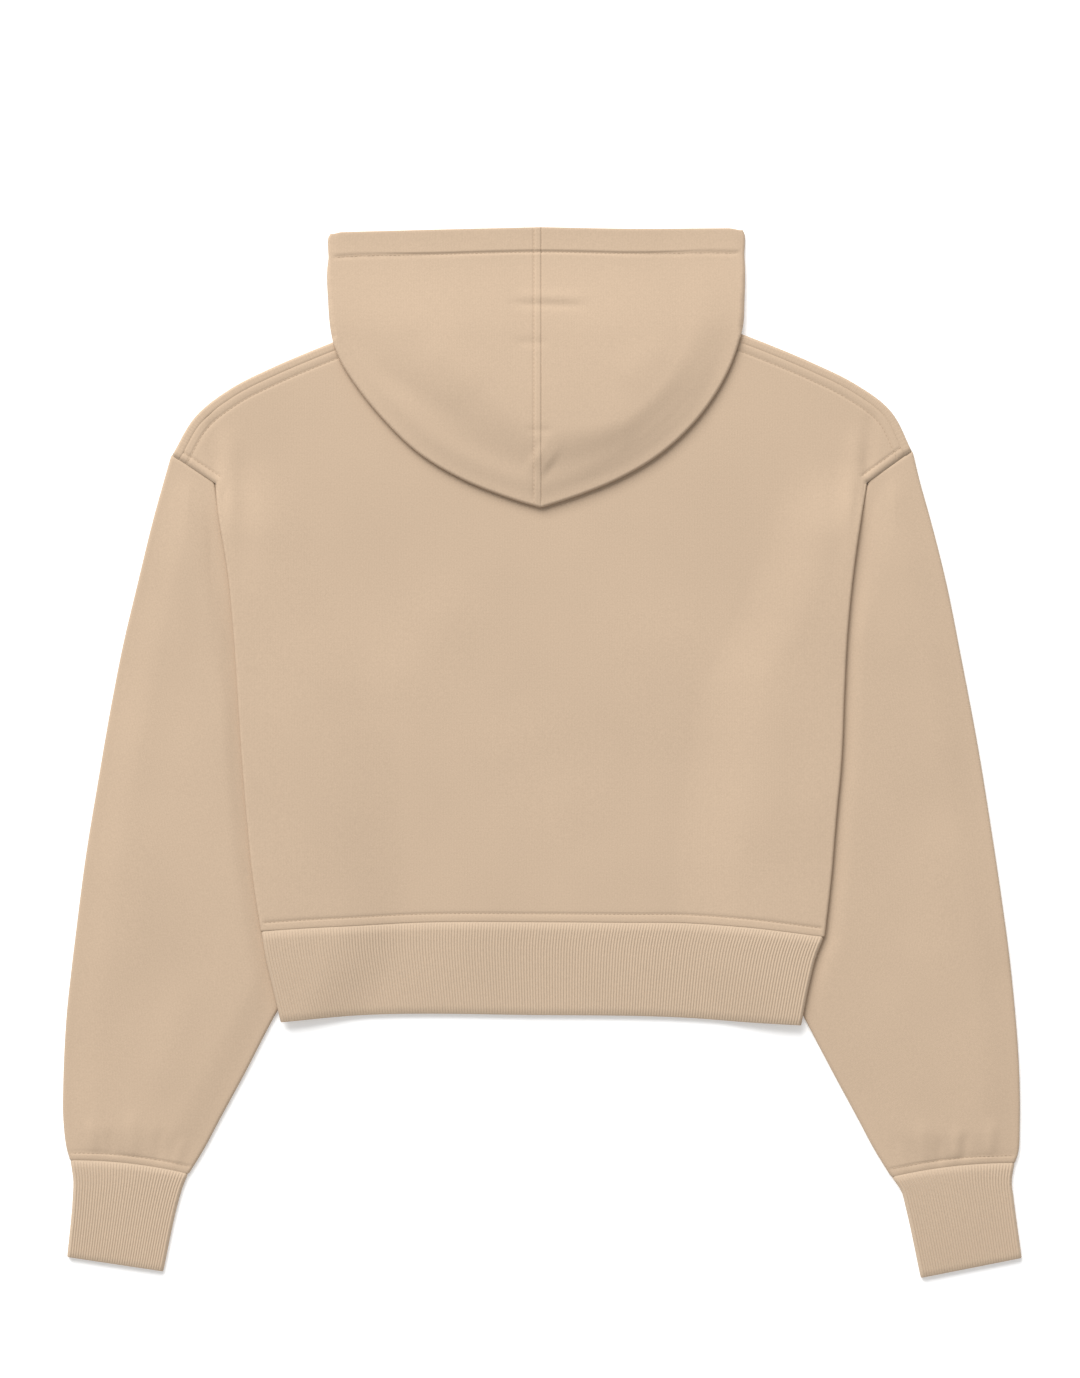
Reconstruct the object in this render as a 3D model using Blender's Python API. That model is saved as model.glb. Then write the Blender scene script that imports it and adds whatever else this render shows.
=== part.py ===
"""A cropped hoodie of sweatshirt cloth, laid flat on its front with the hood lying on its back.

The collar end points to +Y, the hem to -Y, and the floor is z = 0. Sizes below are millimetres.
Every piece is one wall of cloth: a middle surface is worked out from the tables, and the wall
is given its thickness on both sides of it. "Left" is the side at -X.
"""
import math
from collections import namedtuple

import bpy
import numpy as np

MM = 0.001

# Cloth
CLOTH = 1.8            # thickness of the brushed sweatshirt cloth, and of the rib knit in its grooves
AIR = 0.9              # space left inside a flattened tube
GAP = 0.3              # between pieces that are sewn together
RIB_HEIGHT = 0.55      # how far a rib stands above its grooves
HEM_RIBS = 188         # ribs that show across the hem band
CUFF_RIBS = 37         # ribs that show across one cuff

# Heights of the middle of each layer above the floor
LOWER = CLOTH / 2
UPPER = LOWER + CLOTH + AIR
FOLD_RADIUS = (UPPER - LOWER) / 2
FOLD = FOLD_RADIUS + CLOTH / 2        # from the outline to where a layer starts to curve over
PILE = UPPER + CLOTH / 2              # height of a flattened tube
LIFT = PILE + GAP                     # how far the body rises where it lies on a sleeve
HOOD_UNDER = PILE + GAP + CLOTH / 2   # the hood's lower layer, on the back panel
HOOD_OVER = HOOD_UNDER + CLOTH + AIR  # its visible layer, away from the soft edge
HOOD_PUFF = 2.4                       # extra height of the soft roll round the hood's lower edge
PUFF_INSET, PUFF_REACH = 17.0, 16.0   # how far in from the edge the roll is highest, and its half width
PUFF_FADE = 40.0                      # the roll grows over this length, from the shoulder down

# The body rises over a tucked sleeve: level this far past the sleeve's edge, then down the slope
LEVEL, SLOPE = 14.0, 54.0
TUCK_FROM, TUCK_WHOLE = 194.0, 138.0  # along the armhole end it rises from the first y to the second
SIDE_SEAM = 29.0                      # degrees of the side fold between the two panels, on each side
SHOULDER_TURN = 6.0                   # the front panel wraps over the shoulder to this far behind it

CENTRE = -1.1                         # x of the hood's centre seam and of the neckline's middle
BAND_GAP = 0.5                        # from the hem seam to the band's upper edge
NECK_GAP = 0.4                        # from the front neckline to the hood's lower layer

# Points that tell which side of a line is the inner one
BODY_MIDDLE, ABOVE_NECK, HOOD_MIDDLE = (0.0, 0.0), (0.0, 400.0), (60.0, 300.0)

SideRow = namedtuple("SideRow", "left_x left_y right_x right_y")
# Side edges of the body, from the foot of the armhole down to the hem seam
BODY_SIDES = [
    SideRow(-235.8, 193.7, 234.0, 194.4),
    SideRow(-232.9, 167.0, 229.3, 167.0),
    SideRow(-227.9, 138.2, 225.0, 138.2),
    SideRow(-222.1, 80.6, 219.2, 80.6),
    SideRow(-219.2, 37.4, 217.1, 37.4),
    SideRow(-216.4, -5.8, 215.3, -5.8),
    SideRow(-212.8, -49.0, 211.3, -49.0),
    SideRow(-208.4, -92.2, 207.7, -92.2),
    SideRow(-202.7, -128.9, 203.0, -132.8),
]
# Side edges of the hem band, downwards
BAND_SIDES = [
    SideRow(-202.2, -129.4, 202.2, -133.3),
    SideRow(-199.3, -148.0, 196.6, -148.0),
    SideRow(-195.5, -164.2, 192.6, -164.2),
    SideRow(-188.3, -194.4, 186.1, -196.6),
]

Spot = namedtuple("Spot", "x y")


def one_side(rows, side):
    """The spots of a table's left side (-1) or right side (1)."""
    return [Spot(row.left_x, row.left_y) if side < 0 else Spot(row.right_x, row.right_y) for row in rows]


# Shoulders, from the tip of the armhole up to the side of the neck
SHOULDER_LEFT = [Spot(-266.8, 213.8), Spot(-254.5, 235.8), Spot(-247.3, 244.8), Spot(-226.4, 260.6),
                 Spot(-186.8, 280.4), Spot(-150.8, 295.2), Spot(-106.2, 312.5)]
SHOULDER_RIGHT = [Spot(266.0, 216.7), Spot(255.2, 239.8), Spot(240.1, 256.3), Spot(220.7, 267.5),
                  Spot(192.6, 281.2), Spot(143.6, 301.0), Spot(104.0, 315.4)]
# Necklines, from the side of the neck to the middle, as distances from the centre seam
NECK_FRONT = [Spot(98.0, 291.0), Spot(87.5, 270.5), Spot(71.0, 253.0), Spot(44.0, 238.5), Spot(0.0, 230.4)]
NECK_BACK = [Spot(79.9, 298.1), Spot(43.9, 290.9), Spot(0.0, 289.4)]
# Hem seam and lower edge of the hem band, left to right
HEM_SEAM = [Spot(-202.7, -128.9), Spot(-177.5, -127.1), Spot(-134.3, -124.9), Spot(-91.1, -122.8),
            Spot(-1.8, -122.4), Spot(60.1, -122.8), Spot(103.3, -123.1), Spot(146.5, -126.0),
            Spot(203.0, -132.8)]
BAND_EDGE = [Spot(-188.3, -194.4), Spot(-145.8, -190.4), Spot(-1.8, -189.4), Spot(106.2, -191.5),
             Spot(146.5, -194.4), Spot(186.1, -196.6)]

TubeRow = namedtuple("TubeRow", "left_x left_y right_x right_y bow")
# Sleeves from the armhole to the cuff seam. bow lifts the middle of a row towards the shoulder
SLEEVE_LEFT = [
    TubeRow(-267.5, 213.6, -236.4, 194.8, 0.0),
    TubeRow(-272.5, 196.0, -233.6, 170.0, 0.0),
    TubeRow(-280.3, 168.0, -228.1, 137.0, 0.0),
    TubeRow(-291.3, 123.0, -207.0, 95.0, 0.0),
    TubeRow(-302.4, 76.0, -184.5, 52.0, 0.0),
    TubeRow(-310.0, 37.4, -173.2, 15.8, 0.0),
    TubeRow(-320.0, -20.2, -166.0, -34.6, 0.0),
    TubeRow(-329.4, -77.8, -161.6, -81.4, 0.0),
    TubeRow(-335.9, -128.2, -162.4, -121.0, 0.0),
    TubeRow(-340.2, -164.2, -173.9, -155.5, 0.0),
    TubeRow(-343.1, -193.0, -194.8, -193.0, 0.0),
    TubeRow(-345.2, -236.2, -215.0, -232.0, 0.5),
    TubeRow(-345.2, -265.0, -232.9, -265.0, 1.0),
    TubeRow(-343.1, -284.0, -244.4, -286.6, 1.8),
    TubeRow(-340.4, -293.8, -254.8, -303.6, 2.6),
]
SLEEVE_RIGHT = [
    TubeRow(234.8, 195.6, 266.6, 216.5, 0.0),
    TubeRow(230.2, 170.0, 271.5, 196.0, 0.0),
    TubeRow(225.2, 137.0, 279.3, 168.0, 0.0),
    TubeRow(204.5, 95.0, 290.6, 123.0, 0.0),
    TubeRow(181.0, 52.0, 301.2, 70.0, 0.0),
    TubeRow(171.7, 15.8, 312.8, 8.6, 0.0),
    TubeRow(164.5, -34.6, 322.2, -49.0, 0.0),
    TubeRow(160.2, -81.4, 330.8, -106.6, 0.0),
    TubeRow(160.9, -121.0, 336.6, -149.8, 0.0),
    TubeRow(171.0, -155.5, 340.9, -193.0, 0.0),
    TubeRow(189.7, -193.0, 343.0, -222.0, 0.0),
    TubeRow(208.5, -229.0, 343.8, -244.0, 0.5),
    TubeRow(227.9, -265.0, 343.8, -268.0, 1.0),
    TubeRow(239.4, -286.6, 343.1, -286.6, 1.8),
    TubeRow(251.2, -305.8, 340.4, -295.7, 2.6),
]
# Cuffs from the seam to the open end
CUFF_TABLE_LEFT = [
    TubeRow(-340.0, -294.4, -255.4, -304.0, 2.6),
    TubeRow(-338.0, -309.0, -259.6, -314.6, 1.4),
    TubeRow(-338.4, -320.0, -262.6, -325.0, 0.8),
    TubeRow(-342.4, -363.6, -273.2, -374.0, 0.0),
]
CUFF_TABLE_RIGHT = [
    TubeRow(251.8, -306.3, 340.0, -296.3, 2.6),
    TubeRow(258.8, -317.0, 338.0, -309.6, 1.4),
    TubeRow(261.4, -327.0, 339.2, -320.0, 0.8),
    TubeRow(272.5, -378.7, 345.2, -364.3, 0.0),
]
# Outline of the hood from its top corner round to the tip: x is the distance from the centre seam
HOOD_SIDE = [
    SideRow(152.6, 373.8, 146.2, 376.2),
    SideRow(154.1, 352.8, 146.5, 354.0),
    SideRow(153.3, 324.0, 146.5, 324.0),
    SideRow(151.9, 306.7, 145.5, 306.7),
    SideRow(149.7, 295.2, 142.6, 295.2),
    SideRow(144.7, 282.2, 138.3, 282.2),
    SideRow(130.3, 259.6, 127.0, 259.6),
    SideRow(115.9, 241.9, 114.5, 241.9),
    SideRow(87.1, 214.2, 85.7, 214.2),
    SideRow(58.3, 196.9, 56.9, 196.9),
    SideRow(29.5, 184.9, 28.1, 184.9),
    SideRow(15.1, 180.0, 13.7, 180.0),
    SideRow(0.0, 175.7, 0.0, 175.7),
]
HOOD_TOP = [SideRow(152.6, 373.8, 146.2, 376.2), SideRow(76.0, 376.2, 66.0, 376.8),
            SideRow(0.0, 378.0, 0.0, 378.0)]
HOOD_LOW_Y, HOOD_HIGH_Y = 372.0, 300.0   # the visible layer climbs between these onto the body
# Where the rows of the hood's front flap bend round the side of the neck, opening edge first,
# measured from there: x away from the centre seam, y towards the top
FLAP_BENDS = [Spot(-26.0, 17.5), Spot(-22.0, 17.0), Spot(-18.0, 16.5),
              Spot(-14.5, 16.0), Spot(-11.0, 15.5), Spot(-8.0, 14.5)]
TURN_START, TURN_BEND = Spot(-3.0, 5.8), Spot(-4.0, 9.5)   # one more low row turns the corner there
SHOULDER_CLEAR = 3.6                     # the hood's last low row, outside the shoulder's fold
SHOULDER_OVER = 0.3                      # its first high row, inside the shoulder's edge
NECK_STEP = 4.0                          # both start this far past the side of the neck

# Counts of faces
SHOULDER_STEPS, NECK_STEPS = 6, 6
SIDE_STEPS, ARMHOLE_STEPS = 14, 2
HOOD_HIGH_ROWS, HOOD_TIP_ROWS = 3, 10    # outline steps below the shoulder: at the side, then to the tip
LOW_ROWS = len(FLAP_BENDS) + 2            # rows of the hood's lower layer that lie on the floor
FLAP_COLUMNS, BEND_COLUMN = 5, 2
SLEEVE_ACROSS = 6
ARC_STEPS = 4
SLEEVE_ROWS, CUFF_ROWS, BAND_ROWS = 16, 3, 2
BAND_LOW_STEPS = 28                       # along the band's layer on the floor

CLOTH_COLOUR = (0.665, 0.497, 0.352, 1.0)
RIB_COLOUR = (0.612, 0.462, 0.323, 1.0)
CLOTH_ROUGHNESS = 0.92
SHARP_ANGLE = 50                          # degrees between faces past which their edge stays sharp
TINY = 1e-9                               # keeps a face without area from being divided by nothing


# Curves in the plane of the floor

def smooth(points, per_step=24):
    """Many points along a smooth curve through the given ones."""
    points = np.array(points, float)
    at = np.concatenate([[0.0], np.cumsum(np.linalg.norm(np.diff(points, axis=0), axis=1))])
    slopes = np.gradient(points, at, axis=0)
    where = np.linspace(0.0, at[-1], per_step * (len(points) - 1) + 1)
    first = np.clip(np.searchsorted(at, where, side="right") - 1, 0, len(points) - 2)
    span = (at[first + 1] - at[first])[:, None]
    s = (where - at[first])[:, None] / span
    start, end = points[first], points[first + 1]
    return ((2 * s**3 - 3 * s**2 + 1) * start + (s**3 - 2 * s**2 + s) * span * slopes[first]
            + (3 * s**2 - 2 * s**3) * end + (s**3 - s**2) * span * slopes[first + 1])


def along(line, fractions):
    """Points at these fractions of a line's length."""
    at = np.concatenate([[0.0], np.cumsum(np.linalg.norm(np.diff(line, axis=0), axis=1))])
    wanted = np.asarray(fractions) * at[-1]
    return np.stack([np.interp(wanted, at, line[:, k]) for k in range(line.shape[1])], axis=1)


def even(points, steps):
    """The smooth curve through the points, cut into equal steps."""
    return along(smooth(points), np.linspace(0.0, 1.0, steps + 1))


def length_of(line):
    return float(np.linalg.norm(np.diff(line, axis=0), axis=1).sum())


def unit(vectors):
    vectors = np.asarray(vectors, float)
    return vectors / np.linalg.norm(vectors, axis=-1, keepdims=True)


def sideways(line, towards):
    """Unit normals of a line, on the side where a given point lies."""
    tangents = unit(np.gradient(line, axis=0))
    normals = np.stack([-tangents[:, 1], tangents[:, 0]], axis=1)
    side = np.sign(((np.asarray(towards) - line.mean(axis=0)) * normals.mean(axis=0)).sum())
    return normals * side


def coons(low, high, left, right):
    """A grid of points stretched between four edges, its rows running from low to high."""
    u = np.linspace(0.0, 1.0, len(low))[None, :, None]
    v = np.linspace(0.0, 1.0, len(left))[:, None, None]
    ruled = (1 - v) * low[None] + v * high[None] + (1 - u) * left[:, None] + u * right[:, None]
    corners = ((1 - v) * ((1 - u) * low[0] + u * low[-1]) + v * ((1 - u) * high[0] + u * high[-1]))
    return ruled - corners


def relaxed(grid, rounds=40):
    """The grid with its inner points evened out, its edges kept."""
    for _ in range(rounds):
        around = grid[:-2, 1:-1] + grid[2:, 1:-1] + grid[1:-1, :-2] + grid[1:-1, 2:]
        grid[1:-1, 1:-1] = around / 4
    return grid


def ease(x):
    x = np.clip(x, 0.0, 1.0)
    return x * x * (3 - 2 * x)


# Heights

def inner_edge(table, side):
    """A sleeve's hidden inner edge as rising y and its x, measured outwards on that side."""
    rows = one_side(table[::-1], -side)
    return np.array([spot.y for spot in rows]), np.array([side * spot.x for spot in rows])


def rise(points):
    """How far the body is lifted at these points by the sleeves under its sides."""
    across = np.zeros(len(points))
    for side, table in ((-1, SLEEVE_LEFT), (1, SLEEVE_RIGHT)):
        ys, xs = inner_edge(table, side)
        inside = np.interp(points[:, 1], ys, xs) - side * points[:, 0]
        across = np.maximum(across, 1 - ease((inside - LEVEL) / SLOPE))
    return LIFT * across * ease((TUCK_FROM - points[:, 1]) / (TUCK_FROM - TUCK_WHOLE))


def flat(points, height):
    """Points of the plane put at a height."""
    return np.column_stack([points, np.broadcast_to(height, len(points))])


# Walls

def wall(name, middle, faces, colour, relief=None, seam_x=None):
    """A closed wall of cloth round a middle surface. relief raises its outer points."""
    middle = np.array(middle, float)
    normals = np.zeros_like(middle)
    for face in faces:
        corners = middle[list(face)]
        normal = np.cross(corners[2] - corners[0], corners[-1] - corners[1])
        normals[list(face)] += normal / max(np.linalg.norm(normal), TINY)
    if seam_x is not None:
        normals[np.abs(middle[:, 0] - seam_x) < GAP, 0] = 0.0
    normals = unit(normals)
    raised = np.zeros(len(middle)) if relief is None else relief
    outer = middle + normals * (CLOTH / 2 + raised)[:, None]
    inner = middle - normals * CLOTH / 2
    count = len(middle)
    skin = [tuple(face) for face in faces]
    skin += [tuple(corner + count for corner in reversed(face)) for face in faces]
    open_edges = {}
    for face in faces:
        for start, end in zip(face, face[1:] + face[:1]):
            if open_edges.pop((end, start), None) is None:
                open_edges[(start, end)] = True
    skin += [(end, start, start + count, end + count) for start, end in open_edges]
    return add_object(name, np.vstack([outer, inner]), skin, colour)


def signed_volume(points, faces):
    total = 0.0
    for face in faces:
        for second, third in zip(face[1:-1], face[2:]):
            total += np.dot(points[face[0]], np.cross(points[second], points[third]))
    return total / 6


def add_object(name, points, faces, colour):
    points = points.copy()
    points[:, 2] = np.maximum(points[:, 2], 0.0)
    if signed_volume(points, faces) < 0:
        faces = [tuple(reversed(face)) for face in faces]
    mesh = bpy.data.meshes.new(name)
    mesh.from_pydata((points * MM).tolist(), [], faces)
    mesh.validate()
    mesh.shade_smooth()
    mesh.set_sharp_from_angle(angle=math.radians(SHARP_ANGLE))
    mesh.materials.append(material(name, colour))
    obj = bpy.data.objects.new(name, mesh)
    bpy.context.scene.collection.objects.link(obj)
    return obj


def material(name, colour):
    made = bpy.data.materials.new(name)
    made.use_nodes = True
    shader = made.node_tree.nodes["Principled BSDF"]
    shader.inputs["Base Color"].default_value = colour
    shader.inputs["Roughness"].default_value = CLOTH_ROUGHNESS
    shader.inputs["Metallic"].default_value = 0.0
    return made


def grid_faces(rows, columns, first=0, closed=False):
    """Faces of a grid whose points are numbered row by row."""
    faces = []
    for row in range(rows - 1):
        for column in range(columns if closed else columns - 1):
            a = first + row * columns + column
            b = first + row * columns + (column + 1) % columns
            faces.append((a, b, b + columns, a + columns))
    return faces


class Sheet:
    """A middle surface put together from grids that share their edge points."""

    def __init__(self):
        self.points, self.faces, self.known = [], [], {}

    def add(self, grid):
        """Adds a grid of points in space, rows by columns."""
        numbers = [[self.number(point) for point in row] for row in grid]
        for upper, lower in zip(numbers, numbers[1:]):
            for column in range(len(upper) - 1):
                face = (upper[column], upper[column + 1], lower[column + 1], lower[column])
                self.faces.append(face)

    def number(self, point):
        key = tuple(round(float(value), 3) for value in point)
        if key not in self.known:
            self.known[key] = len(self.points)
            self.points.append([float(value) for value in point])
        return self.known[key]


# Body panels

def fold_arc(starts, outward, low, high, first, last, steps):
    """Rows of points round a fold: from each start, outwards and up between two heights."""
    middle, radius = (low + high) / 2, (high - low) / 2
    rows = []
    for angle in np.radians(np.linspace(first, last, steps + 1)):
        spots = starts + outward * (radius * math.cos(angle))[:, None]
        rows.append(flat(spots, middle + radius * math.sin(angle)))
    return np.array(rows)


def top_edge(side, shoulder_inset, neck_table):
    """The shoulder, set in from the outline, and the neckline from its end to the middle."""
    slope = even(SHOULDER_LEFT if side < 0 else SHOULDER_RIGHT, SHOULDER_STEPS)
    slope = slope + sideways(slope, BODY_MIDDLE) * shoulder_inset
    neck = even([slope[-1]] + [(CENTRE + side * spot.x, spot.y) for spot in neck_table], NECK_STEPS)
    return slope, neck


def body_outline(shoulder_inset, neck_table):
    """The panel's four edges: hem, top, left and right."""
    sides = []
    tops = []
    for side in (-1, 1):
        edge = even(one_side(BODY_SIDES[::-1], side), SIDE_STEPS)
        edge = edge + sideways(edge, BODY_MIDDLE) * FOLD
        slope, neck = top_edge(side, shoulder_inset, neck_table)
        armhole = even([edge[-1], slope[0]], ARMHOLE_STEPS)
        sides.append(np.vstack([edge, armhole[1:]]))
        tops.append(np.vstack([slope, neck[1:]]))
    top = np.vstack([tops[0], tops[1][::-1][1:]])
    hem = even(HEM_SEAM, len(top) - 1)
    hem[0], hem[-1] = sides[0][0], sides[1][0]
    return hem, top, sides[0], sides[1]


def panel(height, shoulder_inset, neck_table, roll_from, roll_to):
    """One body panel. Its sides roll half way round the fold, from one angle to the other."""
    hem, top, left, right = body_outline(shoulder_inset, neck_table)
    grid = relaxed(coons(hem, top, left, right))
    flat_points = grid.reshape(-1, 2)
    surface = flat(flat_points, height + rise(flat_points)).reshape(*grid.shape[:2], 3)
    sheet = Sheet()
    sheet.add(surface)
    for edge, column in ((left, 0), (right, -1)):
        edge = edge[:SIDE_STEPS + 1]
        outward = -sideways(edge, BODY_MIDDLE)
        lift = rise(edge)
        arcs = fold_arc(edge, outward, LOWER + lift, UPPER + lift, roll_from, roll_to, ARC_STEPS // 2)
        arcs[0] = surface[:SIDE_STEPS + 1, column]
        sheet.add(arcs[:, ::-1] if column else arcs)
    return sheet, surface


def front_panel():
    sheet, surface = panel(LOWER, FOLD, NECK_FRONT, -90, -SIDE_SEAM)
    for first, last in ((0, SHOULDER_STEPS), (len(surface[0]) - 1 - SHOULDER_STEPS, len(surface[0]) - 1)):
        edge = surface[-1, first:last + 1]
        outward = -sideways(edge[:, :2], BODY_MIDDLE)
        lift = edge[:, 2] - LOWER
        arcs = fold_arc(edge[:, :2], outward, LOWER + lift, UPPER + lift, -90, 90, ARC_STEPS)
        arcs[0] = edge
        inner = arcs[-1].copy()
        inner[:, :2] -= outward * (SHOULDER_TURN - FOLD)
        sheet.add(np.vstack([arcs, inner[None]]))
    return wall("front_panel", sheet.points, sheet.faces, CLOTH_COLOUR)


def back_panel():
    sheet, _ = panel(UPPER, SHOULDER_TURN + GAP, NECK_BACK, 90, SIDE_SEAM)
    return wall("back_panel", sheet.points, sheet.faces, CLOTH_COLOUR)


# Flattened tubes: sleeves, cuffs and hem band

def tube_ring(line, low_steps, high_steps, lifted):
    """One ring: along the floor from left to right, round the fold, back on top, and round again."""
    inset = FOLD / length_of(line)
    low = along(line, np.linspace(inset, 1 - inset, low_steps + 1))
    high = along(line, np.linspace(1 - inset, inset, high_steps + 1))
    right, left = unit(line[-1] - line[-2]), unit(line[0] - line[1])
    turn = np.linspace(-90, 90, ARC_STEPS + 1)[1:-1]
    arcs = []
    for start, outward, angles in ((low[-1], right, turn), (low[0], left, -turn)):
        angles = np.radians(angles)
        spots = start + outward * (FOLD_RADIUS * np.cos(angles))[:, None]
        arcs.append(flat(spots, LOWER + FOLD_RADIUS * (1 + np.sin(angles))))
    ring = np.vstack([flat(low, LOWER), arcs[0], flat(high, UPPER), arcs[1]])
    if lifted:
        ring[:, 2] += rise(ring[:, :2])
    return ring


def tube(name, lines, low_steps, high_steps, ribbed=False, lifted=False):
    """A flattened tube through rings on these lines, with ribs on the part of it that shows."""
    rings = np.array([tube_ring(line, low_steps, high_steps, lifted) for line in lines])
    count = rings.shape[1]
    relief = np.zeros((len(lines), count))
    first_high = low_steps + ARC_STEPS
    if ribbed:
        crests = np.arange(high_steps + 1) % 2
        relief[:, first_high:first_high + high_steps + 1] = RIB_HEIGHT * crests
    colour = RIB_COLOUR if ribbed else CLOTH_COLOUR
    faces = grid_faces(len(lines), count, closed=True)
    return wall(name, rings.reshape(-1, 3), faces, colour, relief.reshape(-1))


def tube_lines(table, rows):
    """Lines across a tube at even steps along it, each bowed by the table's amount."""
    edges = even([tuple(row) for row in table], rows)
    lines = []
    for left_x, left_y, right_x, right_y, bow in edges:
        s = np.linspace(0.0, 1.0, 2 * SLEEVE_ACROSS + 1)[:, None]
        left, right = np.array([left_x, left_y]), np.array([right_x, right_y])
        across = unit(right - left)
        upwards = np.array([-across[1], across[0]])
        lines.append(left + s * (right - left) + upwards * bow * 4 * s * (1 - s))
    return lines


def sleeve(name, table):
    return tube(name, tube_lines(table, SLEEVE_ROWS), SLEEVE_ACROSS, SLEEVE_ACROSS)


def cuff(name, table):
    return tube(name, tube_lines(table, CUFF_ROWS), SLEEVE_ACROSS, 2 * CUFF_RIBS, ribbed=True)


def hem_rib():
    """The hem band, between the hem seam and its own lower edge."""
    steps = 2 * HEM_RIBS
    high = even(HEM_SEAM, steps) - (0.0, BAND_GAP)
    low = even(BAND_EDGE, steps)
    left, right = even(one_side(BAND_SIDES, -1), BAND_ROWS), even(one_side(BAND_SIDES, 1), BAND_ROWS)
    high[0], high[-1] = left[0], right[0]
    lines = list(coons(high, low, left, right))
    return tube("hem_rib", lines, BAND_LOW_STEPS, steps, ribbed=True, lifted=True)


# Hood

def hood_height(points, outline):
    """Height of the visible layer's middle: low at the top edge, and soft along the lower edge."""
    climb = ease((HOOD_LOW_Y - points[:, 1]) / (HOOD_LOW_Y - HOOD_HIGH_Y))
    away = np.linalg.norm(points[:, None] - outline[None], axis=2).min(axis=1)
    soft = np.exp(-((away - PUFF_INSET) / PUFF_REACH) ** 2) * ease((HOOD_HIGH_Y - points[:, 1]) / PUFF_FADE)
    return UPPER + (HOOD_OVER - UPPER) * climb + HOOD_PUFF * soft


def hood_side_points(side, neck_side):
    """Points of the outline for each row, those above the shoulder first."""
    outline = smooth(one_side(HOOD_SIDE, side))
    normal = neck_side["outward"]
    over = ((outline - neck_side["point"]) * normal).sum(axis=1)
    above = outline[over >= SHOULDER_CLEAR]
    below = outline[over <= -SHOULDER_OVER]
    flap = along(above, np.linspace(0.0, 1.0, LOW_ROWS))
    under = along(below, np.linspace(0.0, 1.0, HOOD_HIGH_ROWS + HOOD_TIP_ROWS + 1))
    return np.vstack([flap, under]), outline


def neck_side_of(side):
    """Where the shoulder meets the neck, in distances from the centre seam."""
    shoulder = np.array(SHOULDER_LEFT if side < 0 else SHOULDER_RIGHT, float)
    shoulder[:, 0] = side * (shoulder[:, 0] - CENTRE)
    along_shoulder = unit(shoulder[-1] - shoulder[-2])
    outward = np.array([-along_shoulder[1], along_shoulder[0]])
    outward = outward * np.sign(outward[1])
    return {"point": shoulder[-1], "inwards": along_shoulder, "outward": outward}


def bent_row(start, bend, end):
    """A row of the front flap: straight to the bend, and straight on from there."""
    return np.vstack([even([start, bend], BEND_COLUMN),
                      even([bend, end], FLAP_COLUMNS - BEND_COLUMN)[1:]])


def hood_lower_rows(side, neck_side, starts):
    """The lower layer's rows from the neckline to the outline's fold, opening edge first."""
    _, neck = top_edge(side, FOLD, NECK_FRONT)
    neck = (neck[::-1] - (CENTRE, 0.0)) * (side, 1.0)
    neck = neck + sideways(neck, ABOVE_NECK) * NECK_GAP
    neck[0, 0] = GAP / 2
    rows = []
    for number, bend in enumerate(FLAP_BENDS):
        rows.append(bent_row(neck[number], neck_side["point"] + bend, starts[number]))
    rows.append(bent_row(neck_side["point"] + TURN_START, neck_side["point"] + TURN_BEND,
                         starts[LOW_ROWS - 2]))
    for number, distance in ((LOW_ROWS - 1, SHOULDER_CLEAR), (LOW_ROWS, -SHOULDER_OVER)):
        begin = neck_side["point"] + neck_side["outward"] * distance + neck_side["inwards"] * NECK_STEP
        rows.append(even([begin, starts[number]], FLAP_COLUMNS))
    behind = even([rows[-1][0]] + [tuple(spot) for spot in NECK_BACK], HOOD_HIGH_ROWS + HOOD_TIP_ROWS)
    behind[-1, 0] = GAP / 2
    for number, spot in enumerate(behind[1:], LOW_ROWS + 1):
        rows.append(even([spot, starts[number]], FLAP_COLUMNS))
    return rows


def hood_half(name, side):
    """Half of the hood: visible layer, the fold round its outline, and the layer under it."""
    neck_side = neck_side_of(side)
    outline, fine_outline = hood_side_points(side, neck_side)
    outline[-1, 0] = GAP / 2
    outward = -sideways(outline, HOOD_MIDDLE)
    outward[0], outward[-1] = (1.0, 0.0), (0.0, -1.0)
    low = np.where(np.arange(len(outline)) < LOW_ROWS, LOWER, HOOD_UNDER)
    high = hood_height(outline, fine_outline)
    inset = CLOTH / 2 + (high - low) / 2
    starts = outline - outward * inset[:, None]
    starts[-1, 0] = GAP / 2
    side_rows = len(outline) - 1 - HOOD_TIP_ROWS
    top = even(one_side(HOOD_TOP, side), HOOD_TIP_ROWS)
    top[0], top[-1, 0] = starts[0], GAP / 2
    seam = even([top[-1], starts[-1]], side_rows)
    visible = coons(top, starts[side_rows:], starts[:side_rows + 1], seam)
    spots = visible.reshape(-1, 2)
    heights = hood_height(spots, fine_outline).reshape(visible.shape[:2])
    heights[:, 0] = high[:side_rows + 1]
    heights[-1] = high[side_rows:]
    lower = np.array(hood_lower_rows(side, neck_side, starts))
    sheet = Sheet()
    sheet.add(np.dstack([visible, heights]))
    arcs = fold_arc(starts, outward, low, high, 90, -90, ARC_STEPS)
    sheet.add(arcs)
    under = np.dstack([lower[:, ::-1], np.repeat(low[:, None], lower.shape[1], axis=1)])
    sheet.add(under.transpose(1, 0, 2))
    points = np.array(sheet.points)
    points[:, 0] = CENTRE + side * points[:, 0]
    return wall(name, points, sheet.faces, CLOTH_COLOUR, seam_x=CENTRE + side * GAP / 2)


def clear_scene():
    for obj in list(bpy.data.objects):
        bpy.data.objects.remove(obj, do_unlink=True)


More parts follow.
